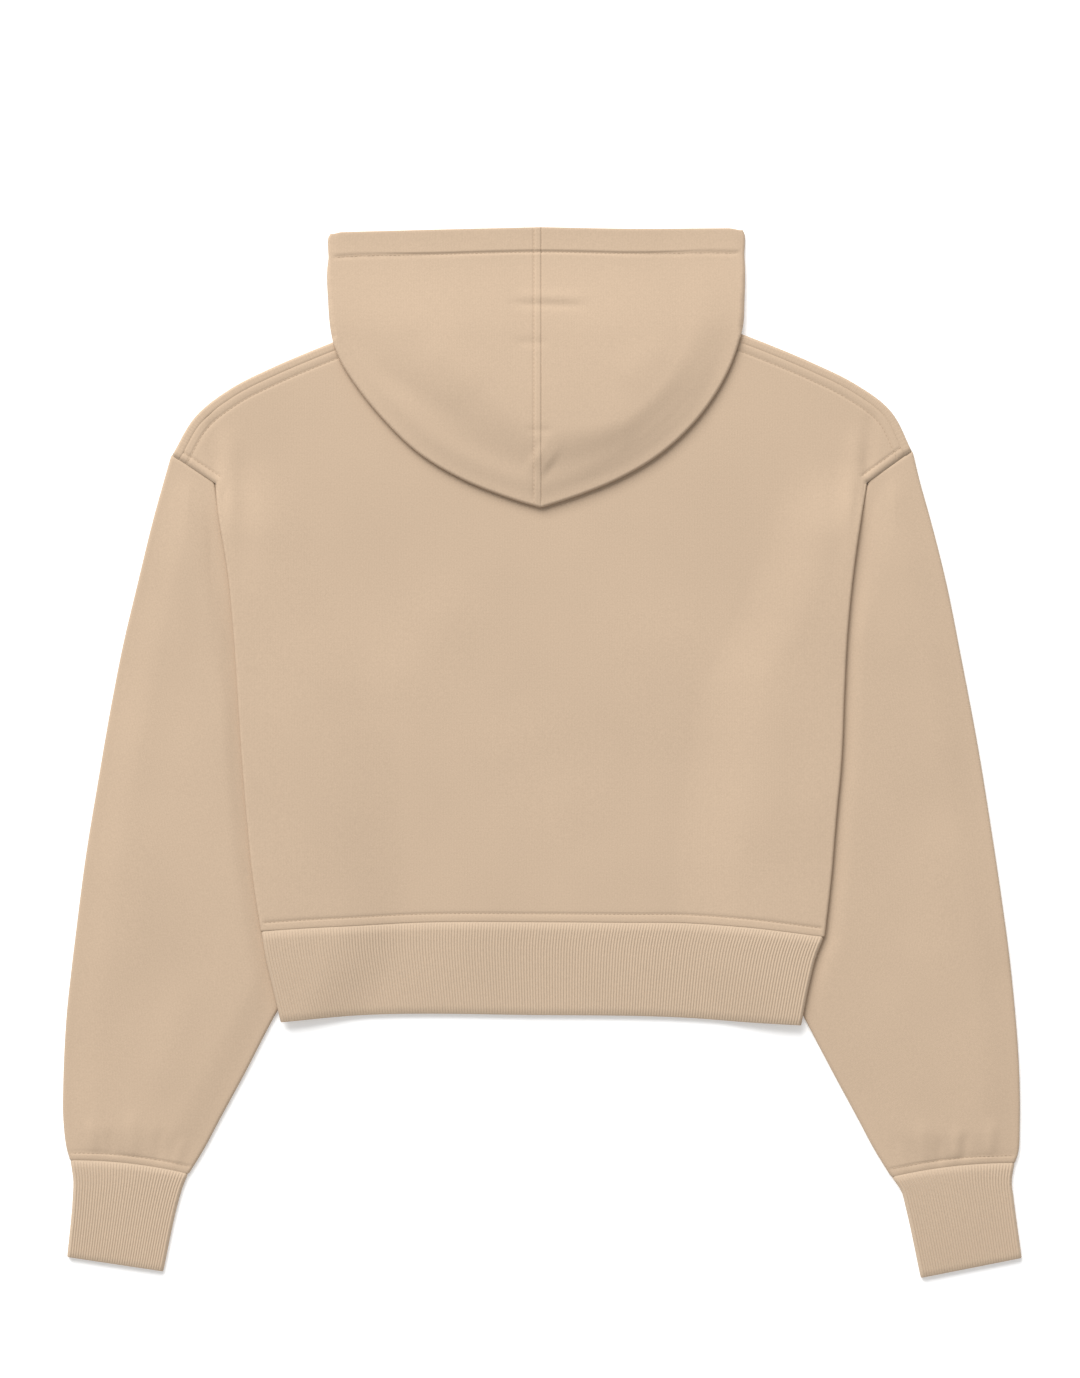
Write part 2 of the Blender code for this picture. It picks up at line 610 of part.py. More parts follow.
def build():
    clear_scene()
    front_panel()
    back_panel()
    sleeve("sleeve_left", SLEEVE_LEFT)
    sleeve("sleeve_right", SLEEVE_RIGHT)
    cuff("cuff_left", CUFF_TABLE_LEFT)
    cuff("cuff_right", CUFF_TABLE_RIGHT)
    hem_rib()
    hood_half("hood_left", -1)
    hood_half("hood_right", 1)


build()
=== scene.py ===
# %% [markdown]
# # A cropped hoodie, laid flat on its front
#
# The frame holds nine plain pieces of cloth. This script dresses each of them: a finer shell of the
# same form, with rolled edges, seams, soft creases, ribs and stitches, and a knit surface.
# Every length below is in millimetres, and MM turns it into Blender's metres.

# %% Load the frame
import math
from collections import namedtuple

import bpy
import numpy as np
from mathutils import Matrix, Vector
from mathutils.bvhtree import BVHTree


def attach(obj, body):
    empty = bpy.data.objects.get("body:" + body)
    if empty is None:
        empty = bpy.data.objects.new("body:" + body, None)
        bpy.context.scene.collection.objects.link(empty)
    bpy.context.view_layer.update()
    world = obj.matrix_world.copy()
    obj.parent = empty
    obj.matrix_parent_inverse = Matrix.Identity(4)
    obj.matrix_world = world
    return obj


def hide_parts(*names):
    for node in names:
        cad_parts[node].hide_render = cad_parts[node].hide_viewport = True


MM = 0.001
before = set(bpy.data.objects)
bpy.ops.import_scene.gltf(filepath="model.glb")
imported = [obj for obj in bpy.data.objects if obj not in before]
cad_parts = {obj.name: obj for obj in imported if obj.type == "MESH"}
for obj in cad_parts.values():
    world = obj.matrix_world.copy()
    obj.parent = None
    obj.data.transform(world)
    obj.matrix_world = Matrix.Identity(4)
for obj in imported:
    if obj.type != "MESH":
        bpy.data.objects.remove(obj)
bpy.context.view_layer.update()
print("solids:", sorted(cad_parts))

# %% [markdown]
# ## The cloth
#
# A hoodie is sewn from sweatshirt cloth a little under 2 mm thick. Lying flat, each sleeve and the
# body is a tube pressed to two layers. The layers' middles lie at fixed heights over the floor, and
# the cloth turns from one to the other round a small fold.

# %% Thicknesses and heights
CLOTH = 1.8
AIR = 0.9
GAP = 0.3              # between the solids at a seam
MEET = GAP / 2         # how far a shell's edge reaches into that gap, to meet the next shell
LOWER = CLOTH / 2
UPPER = LOWER + CLOTH + AIR
FOLD_RADIUS = (UPPER - LOWER) / 2
FOLD = FOLD_RADIUS + CLOTH / 2
PILE = UPPER + CLOTH / 2
LIFT = PILE + GAP
HOOD_UNDER = PILE + GAP + CLOTH / 2
HOOD_OVER = HOOD_UNDER + CLOTH + AIR
LEVEL, SLOPE = 14.0, 54.0              # the body rises over a tucked sleeve: level, then down the slope
TUCK_FROM, TUCK_WHOLE = 214.0, 154.0   # and along the armhole end between these two y
CENTRE = -1.1                          # x of the hood's centre seam
print(f"a flat tube is {PILE:.1f} mm high, and the hood lies {HOOD_OVER + LOWER:.1f} mm high")

# %% [markdown]
# ## The outline
#
# A flat garment is mostly its outline, so the script starts from the edges of each piece: a few
# places along every side, measured from the middle of the garment, with smooth curves between them.

# %% Outline of the body and its bands
SideRow = namedtuple("SideRow", "left_x left_y right_x right_y")
Spot = namedtuple("Spot", "x y")


def one_side(rows, side):
    """The spots of a table's left side (-1) or right side (1)."""
    return [Spot(row.left_x, row.left_y) if side < 0 else Spot(row.right_x, row.right_y) for row in rows]


BODY_SIDES = [
    SideRow(-235.8, 193.7, 234.0, 194.4),
    SideRow(-232.9, 167.0, 229.3, 167.0),
    SideRow(-227.9, 138.2, 225.0, 138.2),
    SideRow(-222.1, 80.6, 219.2, 80.6),
    SideRow(-219.2, 37.4, 217.1, 37.4),
    SideRow(-216.4, -5.8, 215.3, -5.8),
    SideRow(-212.8, -49.0, 211.3, -49.0),
    SideRow(-208.4, -92.2, 207.7, -92.2),
    SideRow(-202.7, -128.9, 203.0, -132.8),
]
BAND_SIDES = [
    SideRow(-202.2, -129.4, 202.2, -133.3),
    SideRow(-199.3, -148.0, 196.6, -148.0),
    SideRow(-195.5, -164.2, 192.6, -164.2),
    SideRow(-188.3, -194.4, 186.1, -196.6),
]
SHOULDER_LEFT = [Spot(-266.8, 213.8), Spot(-254.5, 235.8), Spot(-247.3, 244.8), Spot(-226.4, 260.6),
                 Spot(-186.8, 280.4), Spot(-150.8, 295.2), Spot(-106.2, 312.5)]
SHOULDER_RIGHT = [Spot(266.0, 216.7), Spot(255.2, 239.8), Spot(240.1, 256.3), Spot(220.7, 267.5),
                  Spot(192.6, 281.2), Spot(143.6, 301.0), Spot(104.0, 315.4)]
NECK_FRONT = [Spot(98.0, 291.0), Spot(87.5, 270.5), Spot(71.0, 253.0), Spot(44.0, 238.5), Spot(0.0, 230.4)]
NECK_BACK = [Spot(79.9, 298.1), Spot(43.9, 290.9), Spot(0.0, 289.4)]
HEM_SEAM = [Spot(-202.7, -128.9), Spot(-177.5, -127.1), Spot(-134.3, -124.9), Spot(-91.1, -122.8),
            Spot(-1.8, -122.4), Spot(60.1, -122.8), Spot(103.3, -123.1), Spot(146.5, -126.0),
            Spot(203.0, -132.8)]
BAND_EDGE = [Spot(-188.3, -194.4), Spot(-145.8, -190.4), Spot(-1.8, -189.4), Spot(106.2, -191.5),
             Spot(146.5, -194.4), Spot(186.1, -196.6)]

# %% Outline of the sleeves and cuffs
TubeRow = namedtuple("TubeRow", "left_x left_y right_x right_y bow")
SLEEVE_LEFT = [
    TubeRow(-267.5, 213.6, -236.4, 194.8, 0.0),
    TubeRow(-272.5, 196.0, -231.9, 170.0, 0.0),
    TubeRow(-280.3, 168.0, -224.0, 137.0, 0.0),
    TubeRow(-291.3, 123.0, -207.0, 95.0, 0.0),
    TubeRow(-302.4, 76.0, -184.5, 52.0, 0.0),
    TubeRow(-310.0, 37.4, -173.2, 15.8, 0.0),
    TubeRow(-320.0, -20.2, -166.0, -34.6, 0.0),
    TubeRow(-329.4, -77.8, -161.6, -81.4, 0.0),
    TubeRow(-335.9, -128.2, -162.4, -121.0, 0.0),
    TubeRow(-340.2, -164.2, -173.9, -155.5, 0.0),
    TubeRow(-343.1, -193.0, -194.8, -193.0, 0.0),
    TubeRow(-345.2, -236.2, -215.0, -232.0, 0.5),
    TubeRow(-345.2, -265.0, -232.9, -265.0, 1.0),
    TubeRow(-343.1, -284.0, -244.4, -286.6, 1.8),
    TubeRow(-340.4, -293.8, -254.8, -303.6, 2.6),
]
SLEEVE_RIGHT = [
    TubeRow(234.8, 195.6, 266.6, 216.5, 0.0),
    TubeRow(228.5, 170.0, 271.5, 196.0, 0.0),
    TubeRow(221.1, 137.0, 279.3, 168.0, 0.0),
    TubeRow(204.5, 95.0, 290.6, 123.0, 0.0),
    TubeRow(181.0, 52.0, 301.2, 70.0, 0.0),
    TubeRow(171.7, 15.8, 312.8, 8.6, 0.0),
    TubeRow(164.5, -34.6, 322.2, -49.0, 0.0),
    TubeRow(160.2, -81.4, 330.8, -106.6, 0.0),
    TubeRow(160.9, -121.0, 336.6, -149.8, 0.0),
    TubeRow(171.0, -155.5, 340.9, -193.0, 0.0),
    TubeRow(189.7, -193.0, 343.0, -222.0, 0.0),
    TubeRow(208.5, -229.0, 343.8, -244.0, 0.5),
    TubeRow(227.9, -265.0, 343.8, -268.0, 1.0),
    TubeRow(239.4, -286.6, 343.1, -286.6, 1.8),
    TubeRow(251.2, -305.8, 340.4, -295.7, 2.6),
]
CUFF_LEFT = [
    TubeRow(-340.0, -294.4, -255.4, -304.0, 2.6),
    TubeRow(-338.0, -309.0, -259.6, -314.6, 1.4),
    TubeRow(-338.4, -320.0, -262.6, -325.0, 0.8),
    TubeRow(-342.4, -363.6, -273.2, -374.0, 0.0),
]
CUFF_RIGHT = [
    TubeRow(251.8, -306.3, 340.0, -296.3, 2.6),
    TubeRow(258.8, -317.0, 338.0, -309.6, 1.4),
    TubeRow(261.4, -327.0, 339.2, -320.0, 0.8),
    TubeRow(272.5, -378.7, 345.2, -364.3, 0.0),
]

# %% Outline of the hood, as distances from its centre seam
HOOD_SIDE = [
    SideRow(151.6, 373.2, 145.4, 375.9),
    SideRow(153.0, 371.0, 146.6, 373.2),
    SideRow(153.5, 364.0, 146.9, 366.0),
    SideRow(153.1, 356.0, 146.5, 359.0),
    SideRow(153.9, 349.0, 146.9, 351.0),
    SideRow(153.3, 324.0, 146.5, 324.0),
    SideRow(151.9, 306.7, 145.5, 306.7),
    SideRow(149.7, 295.2, 142.6, 295.2),
    SideRow(144.7, 282.2, 138.3, 282.2),
    SideRow(130.3, 259.6, 127.0, 259.6),
    SideRow(115.9, 241.9, 114.5, 241.9),
    SideRow(87.1, 214.2, 85.7, 214.2),
    SideRow(58.3, 196.9, 56.9, 196.9),
    SideRow(29.5, 184.9, 28.1, 184.9),
    SideRow(15.1, 180.0, 13.7, 180.0),
    SideRow(0.0, 175.7, 0.0, 175.7),
]
HOOD_TOP = [SideRow(151.6, 373.2, 145.4, 375.9), SideRow(149.4, 374.0, 143.2, 376.9),
            SideRow(144.0, 374.4, 136.0, 377.2), SideRow(76.0, 376.2, 66.0, 376.8),
            SideRow(0.0, 378.0, 0.0, 378.0)]
HOOD_LOW_Y, HOOD_HIGH_Y = 372.0, 300.0
FLAP_BENDS = [Spot(-26.0, 17.5), Spot(-22.0, 17.0), Spot(-18.0, 16.5),
              Spot(-14.5, 16.0), Spot(-11.0, 15.5), Spot(-8.0, 14.5)]
TURN_START, TURN_BEND = Spot(-3.0, 5.8), Spot(-4.0, 9.5)
SHOULDER_CLEAR, SHOULDER_OVER, NECK_STEP = 3.6, 0.3, 4.0
BODY_MIDDLE, ABOVE_NECK, HOOD_MIDDLE = (0.0, 0.0), (0.0, 400.0), (60.0, 300.0)

# %% [markdown]
# ## Curves and grids
#
# Every shell starts as a grid of points stretched between its four edges. These helpers make the
# smooth edges, walk along them by length, and stretch the grid. They work on whole arrays of points
# at once, because the finest shell has tens of thousands.

# %% Curves
def smooth(points, per_step=24):
    """Many points along a smooth curve through the given ones."""
    points = np.array(points, float)
    at = np.concatenate([[0.0], np.cumsum(np.linalg.norm(np.diff(points, axis=0), axis=1))])
    slopes = np.gradient(points, at, axis=0)
    where = np.linspace(0.0, at[-1], per_step * (len(points) - 1) + 1)
    first = np.clip(np.searchsorted(at, where, side="right") - 1, 0, len(points) - 2)
    span = (at[first + 1] - at[first])[:, None]
    s = (where - at[first])[:, None] / span
    start, end = points[first], points[first + 1]
    return ((2 * s**3 - 3 * s**2 + 1) * start + (s**3 - 2 * s**2 + s) * span * slopes[first]
            + (3 * s**2 - 2 * s**3) * end + (s**3 - s**2) * span * slopes[first + 1])


def lengths_along(line):
    return np.concatenate([[0.0], np.cumsum(np.linalg.norm(np.diff(line, axis=0), axis=1))])


def along(line, fractions):
    """Points at these fractions of a line's length."""
    at = lengths_along(line)
    wanted = np.asarray(fractions) * at[-1]
    return np.stack([np.interp(wanted, at, line[:, k]) for k in range(line.shape[1])], axis=1)


def even(points, steps):
    return along(smooth(points), np.linspace(0.0, 1.0, steps + 1))


def unit(vectors):
    vectors = np.asarray(vectors, float)
    return vectors / np.linalg.norm(vectors, axis=-1, keepdims=True)


def sideways(line, towards):
    """Unit normals of a line, on the side where a given point lies."""
    tangents = unit(np.gradient(line, axis=0))
    normals = np.stack([-tangents[:, 1], tangents[:, 0]], axis=1)
    side = np.sign(((np.asarray(towards) - line.mean(axis=0)) * normals.mean(axis=0)).sum())
    return normals * side


def ease(x):
    x = np.clip(x, 0.0, 1.0)
    return x * x * (3 - 2 * x)


# %% Grids
def coons(low, high, left, right, up=None):
    """A grid of points stretched between four edges, its rows running from low to high."""
    u = np.linspace(0.0, 1.0, len(low))[None, :, None]
    v = (np.linspace(0.0, 1.0, len(left)) if up is None else up)[:, None, None]
    ruled = (1 - v) * low[None] + v * high[None] + (1 - u) * left[:, None] + u * right[:, None]
    corners = ((1 - v) * ((1 - u) * low[0] + u * low[-1]) + v * ((1 - u) * high[0] + u * high[-1]))
    return ruled - corners


def relaxed(grid, rounds=40):
    """The grid with its inner points evened out, its edges kept."""
    for _ in range(rounds):
        around = grid[:-2, 1:-1] + grid[2:, 1:-1] + grid[1:-1, :-2] + grid[1:-1, 2:]
        grid[1:-1, 1:-1] = around / 4
    return grid


def finer(grid, places, breaks=()):
    """The grid read at more places along its rows, on smooth curves with corners at the breaks."""
    grid = np.asarray(grid, float)
    knots = [0, *breaks, len(grid) - 1]
    slopes_after, slopes_before = np.empty_like(grid), np.empty_like(grid)
    for start, end in zip(knots, knots[1:]):
        slopes = np.gradient(grid[start:end + 1], axis=0)
        slopes_after[start:end] = slopes[:-1]
        slopes_before[start + 1:end + 1] = slopes[1:]
    first = np.clip(np.floor(places).astype(int), 0, len(grid) - 2)
    s = (places - first).reshape(-1, *[1] * (grid.ndim - 1))
    return ((2 * s**3 - 3 * s**2 + 1) * grid[first] + (s**3 - 2 * s**2 + s) * slopes_after[first]
            + (3 * s**2 - 2 * s**3) * grid[first + 1] + (s**3 - s**2) * slopes_before[first + 1])


def finer_across(grid, places, breaks=()):
    return finer(grid.swapaxes(0, 1), places, breaks).swapaxes(0, 1)


def places_between(count, per_cell, start_near=(), end_near=()):
    """Places along count cells, evenly, with a few more close to the start and the end."""
    inner = np.linspace(0.0, count, count * per_cell + 1)
    near = np.concatenate([inner, np.asarray(start_near, float), count - np.asarray(end_near, float)])
    return np.unique(np.round(near, 5))


# %% [markdown]
# ## Walls of cloth
#
# A shell with no thickness looks like paper. Each piece is a wall instead: its middle surface is
# moved out by half a thickness on both sides, the two skins are joined round the free edges, and
# the wall gets thinner in its last millimetre, so that every edge is round and two pieces that meet
# leave the small valley of a seam. `relief` moves only the outer skin, for ribs and stitch lines.

# %% A sheet of cloth in several grids
class Sheet:
    """Grids of points in space that share their edges, with a place in the knit for each point."""

    def __init__(self):
        self.points, self.knit, self.relief, self.halves, self.faces = [], [], [], [], []
        self.count = 0

    def add(self, points, knit, relief=0.0, halves=CLOTH / 2):
        rows, columns = points.shape[:2]
        self.points.append(points.reshape(-1, 3))
        self.knit.append(np.broadcast_to(knit, (rows, columns, 2)).reshape(-1, 2))
        self.relief.append(np.broadcast_to(relief, (rows, columns)).reshape(-1))
        self.halves.append(np.broadcast_to(halves, (rows, columns)).reshape(-1))
        number = self.count + np.arange(rows * columns).reshape(rows, columns)
        corners = [number[:-1, :-1], number[:-1, 1:], number[1:, 1:], number[1:, :-1]]
        self.faces.append(np.stack(corners, axis=-1).reshape(-1, 4))
        self.count += rows * columns

    def joined(self):
        """One set of points: those that grids share are kept once."""
        points, faces = np.vstack(self.points), np.vstack(self.faces)
        _, first, which = np.unique(np.round(points, 3), axis=0, return_index=True, return_inverse=True)
        faces = which.reshape(-1)[faces]
        three = [faces[:, k] != faces[:, (k + 1) % 4] for k in range(4)]
        faces = faces[np.logical_and.reduce(three)]
        knit = np.vstack(self.knit)[first]
        relief, halves = np.concatenate(self.relief)[first], np.concatenate(self.halves)[first]
        return points[first], faces, knit, relief, halves


def point_normals(points, faces):
    across = np.cross(points[faces[:, 2]] - points[faces[:, 0]], points[faces[:, 3]] - points[faces[:, 1]])
    normals = np.zeros_like(points)
    for corner in range(4):
        np.add.at(normals, faces[:, corner], across)
    return normals / np.maximum(np.linalg.norm(normals, axis=1, keepdims=True), 1e-9)


def free_edges(faces):
    """Edges that only one face has, in that face's direction."""
    edges = np.vstack([faces[:, [k, (k + 1) % 4]] for k in range(4)])
    _, which, counts = np.unique(np.sort(edges, axis=1), axis=0, return_inverse=True, return_counts=True)
    return edges[counts[which.reshape(-1)] == 1]


# %% Turn a sheet into a piece
SEAM_REACH = 0.05      # points this close to the hood's centre seam keep their normals in its plane


def wall(name, sheet, finish, seam_x=None):
    """A closed wall round a sheet's middle surface, as a mesh with its place at the origin."""
    points, faces, knit, relief, halves = sheet.joined()
    normals = point_normals(points, faces)
    if normals[np.argmax(points[:, 2]), 2] < 0:
        faces, normals = faces[:, ::-1], -normals
    if seam_x is not None:
        normals[np.abs(points[:, 0] - seam_x) < SEAM_REACH, 0] = 0.0
    outer = points + normals * (halves + relief)[:, None]
    inner = points - normals * halves[:, None]
    rim = free_edges(faces)
    count = len(points)
    sides = np.column_stack([rim[:, 1], rim[:, 0], rim[:, 0] + count, rim[:, 1] + count])
    skin = np.vstack([faces, faces[:, ::-1] + count, sides])
    flecks_and_painted_shade = np.vstack([outer, inner])
    flecks_and_painted_shade[:, 2] = np.maximum(flecks_and_painted_shade[:, 2], 0.0)
    mesh = bpy.data.meshes.new(name)
    mesh.from_pydata(flecks_and_painted_shade * MM, [], skin.tolist())
    mesh.update()
    knit_map = mesh.uv_layers.new(name="knit")
    corners = np.vstack([knit, knit])[skin.reshape(-1)] * MM
    knit_map.data.foreach_set("uv", corners.reshape(-1))
    mesh.shade_smooth()
    mesh.materials.append(finish)
    piece = bpy.data.objects.new(name, mesh)
    bpy.context.scene.collection.objects.link(piece)
    print(f"{name}: {len(skin)} faces, {np.ptp(flecks_and_painted_shade, axis=0).round(1)} mm")
    return piece


# %% [markdown]
# ## Seams, stitch lines and creases
#
# Cloth that was pressed and laid down keeps shallow marks: a valley beside each seam, a fine line
# where a row of stitches pulls it in, and a few soft creases. Each is a bump or a trough whose depth
# falls off with the distance from a line, so that they add up anywhere on a piece.

# %% Distances and troughs
def distance_to(points, line):
    """The distance of every point from a line through several spots."""
    best = np.full(len(points), np.inf)
    for start, end in zip(line[:-1], line[1:]):
        step = end - start
        t = np.clip(((points - start) @ step) / (step @ step), 0.0, 1.0)
        best = np.minimum(best, np.linalg.norm(points - start - t[:, None] * step, axis=1))
    return best


def trough(distance, width, depth):
    return -depth * np.exp(-(distance / width) ** 2)


Crease = namedtuple("Crease", "x1 y1 x2 y2 width height")


def creases(points, table, fade=0.35):
    """Soft ridges (height over zero) and troughs (under zero), fading out at both ends."""
    total = np.zeros(len(points))
    for crease in table:
        start = np.array([crease.x1, crease.y1])
        step = np.array([crease.x2, crease.y2]) - start
        t = ((points - start) @ step) / (step @ step)
        off = np.abs((points - start) @ np.array([-step[1], step[0]])) / np.linalg.norm(step)
        ends = ease(t / fade) * ease((1 - t) / fade)
        total += crease.height * ends * np.exp(-(off / crease.width) ** 2)
    return total


# %% [markdown]
# ## Where the body lies on the sleeves
#
# Both sleeves are tucked under the sides of the body. The body has to climb over them, so its height
# is the height of a flat tube plus a rise that starts on the sleeve and runs out in a long slope.

# %% The rise over a sleeve
def inner_edge(table, side):
    rows = one_side(table[::-1], -side)
    return np.array([spot.y for spot in rows]), np.array([side * spot.x for spot in rows])


def rise(points):
    across = np.zeros(len(points))
    for side, table in ((-1, SLEEVE_LEFT), (1, SLEEVE_RIGHT)):
        ys, xs = inner_edge(table, side)
        inside = np.interp(points[:, 1], ys, xs) - side * points[:, 0]
        across = np.maximum(across, 1 - ease((inside - LEVEL) / SLOPE))
    return LIFT * across * ease((TUCK_FROM - points[:, 1]) / (TUCK_FROM - TUCK_WHOLE))


def flat(points, height):
    return np.column_stack([points, np.broadcast_to(height, len(points))])


# %% [markdown]
# ## The knit
#
# Sweatshirt cloth shows rows of small V-shaped loops, about ten to a centimetre, under a light fuzz.
# From arm's length it is a quiet, matt surface whose colour drifts a little. The loops follow the
# piece, so the pattern reads the map called knit, which holds places on the flat cloth in metres.

# %% Node helpers
def node(tree, kind, inputs=None, **settings):
    """A new node with its settings, its inputs set to values or linked from sockets."""
    made = tree.nodes.new(kind)
    for key, value in settings.items():
        setattr(made, key, value)
    for key, value in (inputs or {}).items():
        if isinstance(value, bpy.types.NodeSocket):
            tree.links.new(value, made.inputs[key])
        else:
            made.inputs[key].default_value = value
    return made


def sums(tree, operation, *values):
    return node(tree, "ShaderNodeMath", dict(enumerate(values)), operation=operation).outputs[0]


def loops(tree, across, up, wale, course):
    """Height from 0 to 1 of rows of V-shaped loops, wale apart across and course apart upwards."""
    column = sums(tree, "DIVIDE", across, wale)
    lean = sums(tree, "PINGPONG", column, 0.5)
    row = sums(tree, "ADD", sums(tree, "DIVIDE", up, course), sums(tree, "MULTIPLY", lean, 1.4))
    strands = sums(tree, "ABSOLUTE", sums(tree, "SINE", sums(tree, "MULTIPLY", row, math.pi)))
    columns = sums(tree, "ABSOLUTE", sums(tree, "SINE", sums(tree, "MULTIPLY", column, math.pi)))
    return sums(tree, "MULTIPLY", sums(tree, "POWER", strands, 0.6), sums(tree, "POWER", columns, 0.5))


# %% The finish of the cloth and of the rib
CLOTH_COLOUR = (0.530, 0.398, 0.283)
RIB_COLOUR = (0.540, 0.414, 0.300)
THREAD_COLOUR = (0.440, 0.322, 0.222)


def shaded(colour, factor):
    return (*[min(1.0, c * factor) for c in colour], 1.0)


def knit_finish(name, colour, wale, course, depth):
    """A matt knit: loops in the bump, and a colour that drifts, with painted shade that darkens it between
    the loops.
    """
    made = bpy.data.materials.new(name)
    made.use_nodes = True
    tree = made.node_tree
    shader = tree.nodes["Principled BSDF"]
    place = node(tree, "ShaderNodeUVMap", uv_map="knit").outputs["UV"]
    parts = node(tree, "ShaderNodeSeparateXYZ", {"Vector": place})
    height = loops(tree, parts.outputs["X"], parts.outputs["Y"], wale * MM, course * MM)
    where = node(tree, "ShaderNodeTexCoord").outputs["Object"]
    drift = node(tree, "ShaderNodeTexNoise", {"Vector": where, "Scale": 9.0, "Detail": 3.0})
    yarn = node(tree, "ShaderNodeTexNoise", {"Vector": where, "Scale": 900.0, "Detail": 2.0})
    ramp = node(tree, "ShaderNodeValToRGB", {"Fac": drift.outputs["Fac"]})
    ramp.color_ramp.elements[0].color = shaded(colour, 0.975)
    ramp.color_ramp.elements[0].position = 0.3
    ramp.color_ramp.elements[1].color = shaded(colour, 1.025)
    ramp.color_ramp.elements[1].position = 0.7
    flecks = node(tree, "ShaderNodeMapRange", {"Value": yarn.outputs["Fac"], "From Min": 0.3,
                                               "From Max": 0.7, "To Min": 0.95, "To Max": 1.04})
    # painted shade and light: the colour is darker where the loops are low, between them, and a little
    # lighter on their crests
    painted_loop_shade = node(tree, "ShaderNodeMapRange", {"Value": height, "To Min": 0.93, "To Max": 1.02})
    flecks_and_painted_shade = sums(tree, "MULTIPLY", flecks.outputs[0], painted_loop_shade.outputs[0])
    tinted = node(tree, "ShaderNodeVectorMath", {0: ramp.outputs["Color"], 1: flecks_and_painted_shade}, operation="MULTIPLY")
    tree.links.new(tinted.outputs[0], shader.inputs["Base Color"])
    fuzz = sums(tree, "ADD", height, sums(tree, "MULTIPLY", yarn.outputs["Fac"], 0.8))
    bump = node(tree, "ShaderNodeBump", {"Strength": 0.5, "Distance": depth * MM, "Height": fuzz})
    tree.links.new(bump.outputs["Normal"], shader.inputs["Normal"])
    shader.inputs["Roughness"].default_value = 0.95
    shader.inputs["Specular IOR Level"].default_value = 0.15
    shader.inputs["Sheen Weight"].default_value = 0.06
    shader.inputs["Sheen Roughness"].default_value = 0.6
    return made


cloth_finish = knit_finish("sweatshirt_knit", CLOTH_COLOUR, wale=1.15, course=0.9, depth=0.10)
rib_finish = knit_finish("rib_knit", RIB_COLOUR, wale=1.04, course=0.9, depth=0.10)
print("finishes:", cloth_finish.name, rib_finish.name)

# %% [markdown]
# ## Rounded edges
#
# Close to an edge the wall gets thinner along a quarter circle. The grids get three more rows there,
# and this gives the half thickness at each distance from the edge.

# %% Half thickness near an edge
NEAR_EDGE = (0.12, 0.35, 0.75)    # extra rows at these distances from an edge
SEWN, FREE = 0.7, 0.12            # share of the thickness that is left at a sewn and at a free edge


def rounded(distance, radius=CLOTH / 2, left=SEWN):
    """Half of the cloth's thickness at a distance from its edge."""
    t = np.clip(1 - distance / radius, 0.0, 1.0)
    return CLOTH / 2 * np.maximum(np.sqrt(1 - t * t), left)


# %% [markdown]
# ## Front and back panels
#
# The two panels are cut alike: hem, sides, armholes, shoulders and neck. The front panel's shoulder
# goes over the fold and is sewn behind it, which is why the seam shows on the back, a little below
# the outline. The grid is stretched coarsely, evened out and then read at many more places.

# %% The panels' plan
SHOULDER_STEPS, NECK_STEPS, SIDE_STEPS, ARMHOLE_STEPS = 6, 6, 14, 2
SHOULDER_TURN = 6.0
SIDE_SEAM = 12.0        # degrees from the middle of the side fold to each panel's edge
FOLD_STEPS = 8
HEM_STEPS = 120
PANEL_HEIGHT = 400.0    # from the hem to the shoulder, near enough to space the rows
ARMHOLE_COLUMNS = [0.12 + 0.03 * k for k in range(9)]     # extra columns beside the armholes, in cells


def top_edge(side, shoulder_inset, neck_table):
    slope = even(SHOULDER_LEFT if side < 0 else SHOULDER_RIGHT, SHOULDER_STEPS)
    slope = slope + sideways(slope, BODY_MIDDLE) * shoulder_inset
    neck = even([slope[-1]] + [(CENTRE + side * spot.x, spot.y) for spot in neck_table], NECK_STEPS)
    return slope, neck


def body_outline(shoulder_inset, neck_table):
    sides, tops = [], []
    for side in (-1, 1):
        edge = even(one_side(BODY_SIDES[::-1], side), SIDE_STEPS)
        edge = edge + sideways(edge, BODY_MIDDLE) * (FOLD - MEET)
        slope, neck = top_edge(side, shoulder_inset, neck_table)
        armhole = even([edge[-1], slope[0]], ARMHOLE_STEPS)
        sides.append(np.vstack([edge, armhole[1:]]))
        tops.append(np.vstack([slope, neck[1:]]))
    top = np.vstack([tops[0], tops[1][::-1][1:]])
    hem = even(HEM_SEAM, len(top) - 1)
    hem[0], hem[-1] = sides[0][0], sides[1][0]
    return hem, top, sides[0], sides[1]


def armhole_line(side):
    """The line on the floor where a sleeve and the body meet, half of the gap away from each."""
    line = np.array([one_side(BODY_SIDES, side)[0], (SHOULDER_LEFT if side < 0 else SHOULDER_RIGHT)[0]])
    return line - sideways(line, ABOVE_NECK) * MEET


def onto(line, spots):
    """The spots, each moved squarely onto a straight line."""
    direction = unit(line[1] - line[0])
    return line[0] + ((spots - line[0]) @ direction)[:, None] * direction


def panel_plan(shoulder_inset, neck_table, rows_per_cell, columns_per_cell, stitch_rows):
    """Fine grid of the panel's places on the floor, and where its corners are in the grid."""
    hem, top, left, right = body_outline(shoulder_inset, neck_table)
    grid = relaxed(coons(hem, top, left, right))
    steps, across = SIDE_STEPS + ARMHOLE_STEPS, len(top) - 1
    near = np.array([*NEAR_EDGE, *stitch_rows]) / (PANEL_HEIGHT / steps)
    rows = places_between(steps, rows_per_cell, near, near)
    beside = np.array(ARMHOLE_COLUMNS)
    columns = places_between(across, columns_per_cell, beside, beside)
    grid = finer(grid, rows, (SIDE_STEPS,))
    corners = (SHOULDER_STEPS, across - SHOULDER_STEPS)
    grid = finer_across(grid, columns, corners)
    kink = int(np.argmin(np.abs(rows - SIDE_STEPS)))
    shoulders = [int(np.argmin(np.abs(columns - corner))) for corner in corners]
    return grid, kink, shoulders


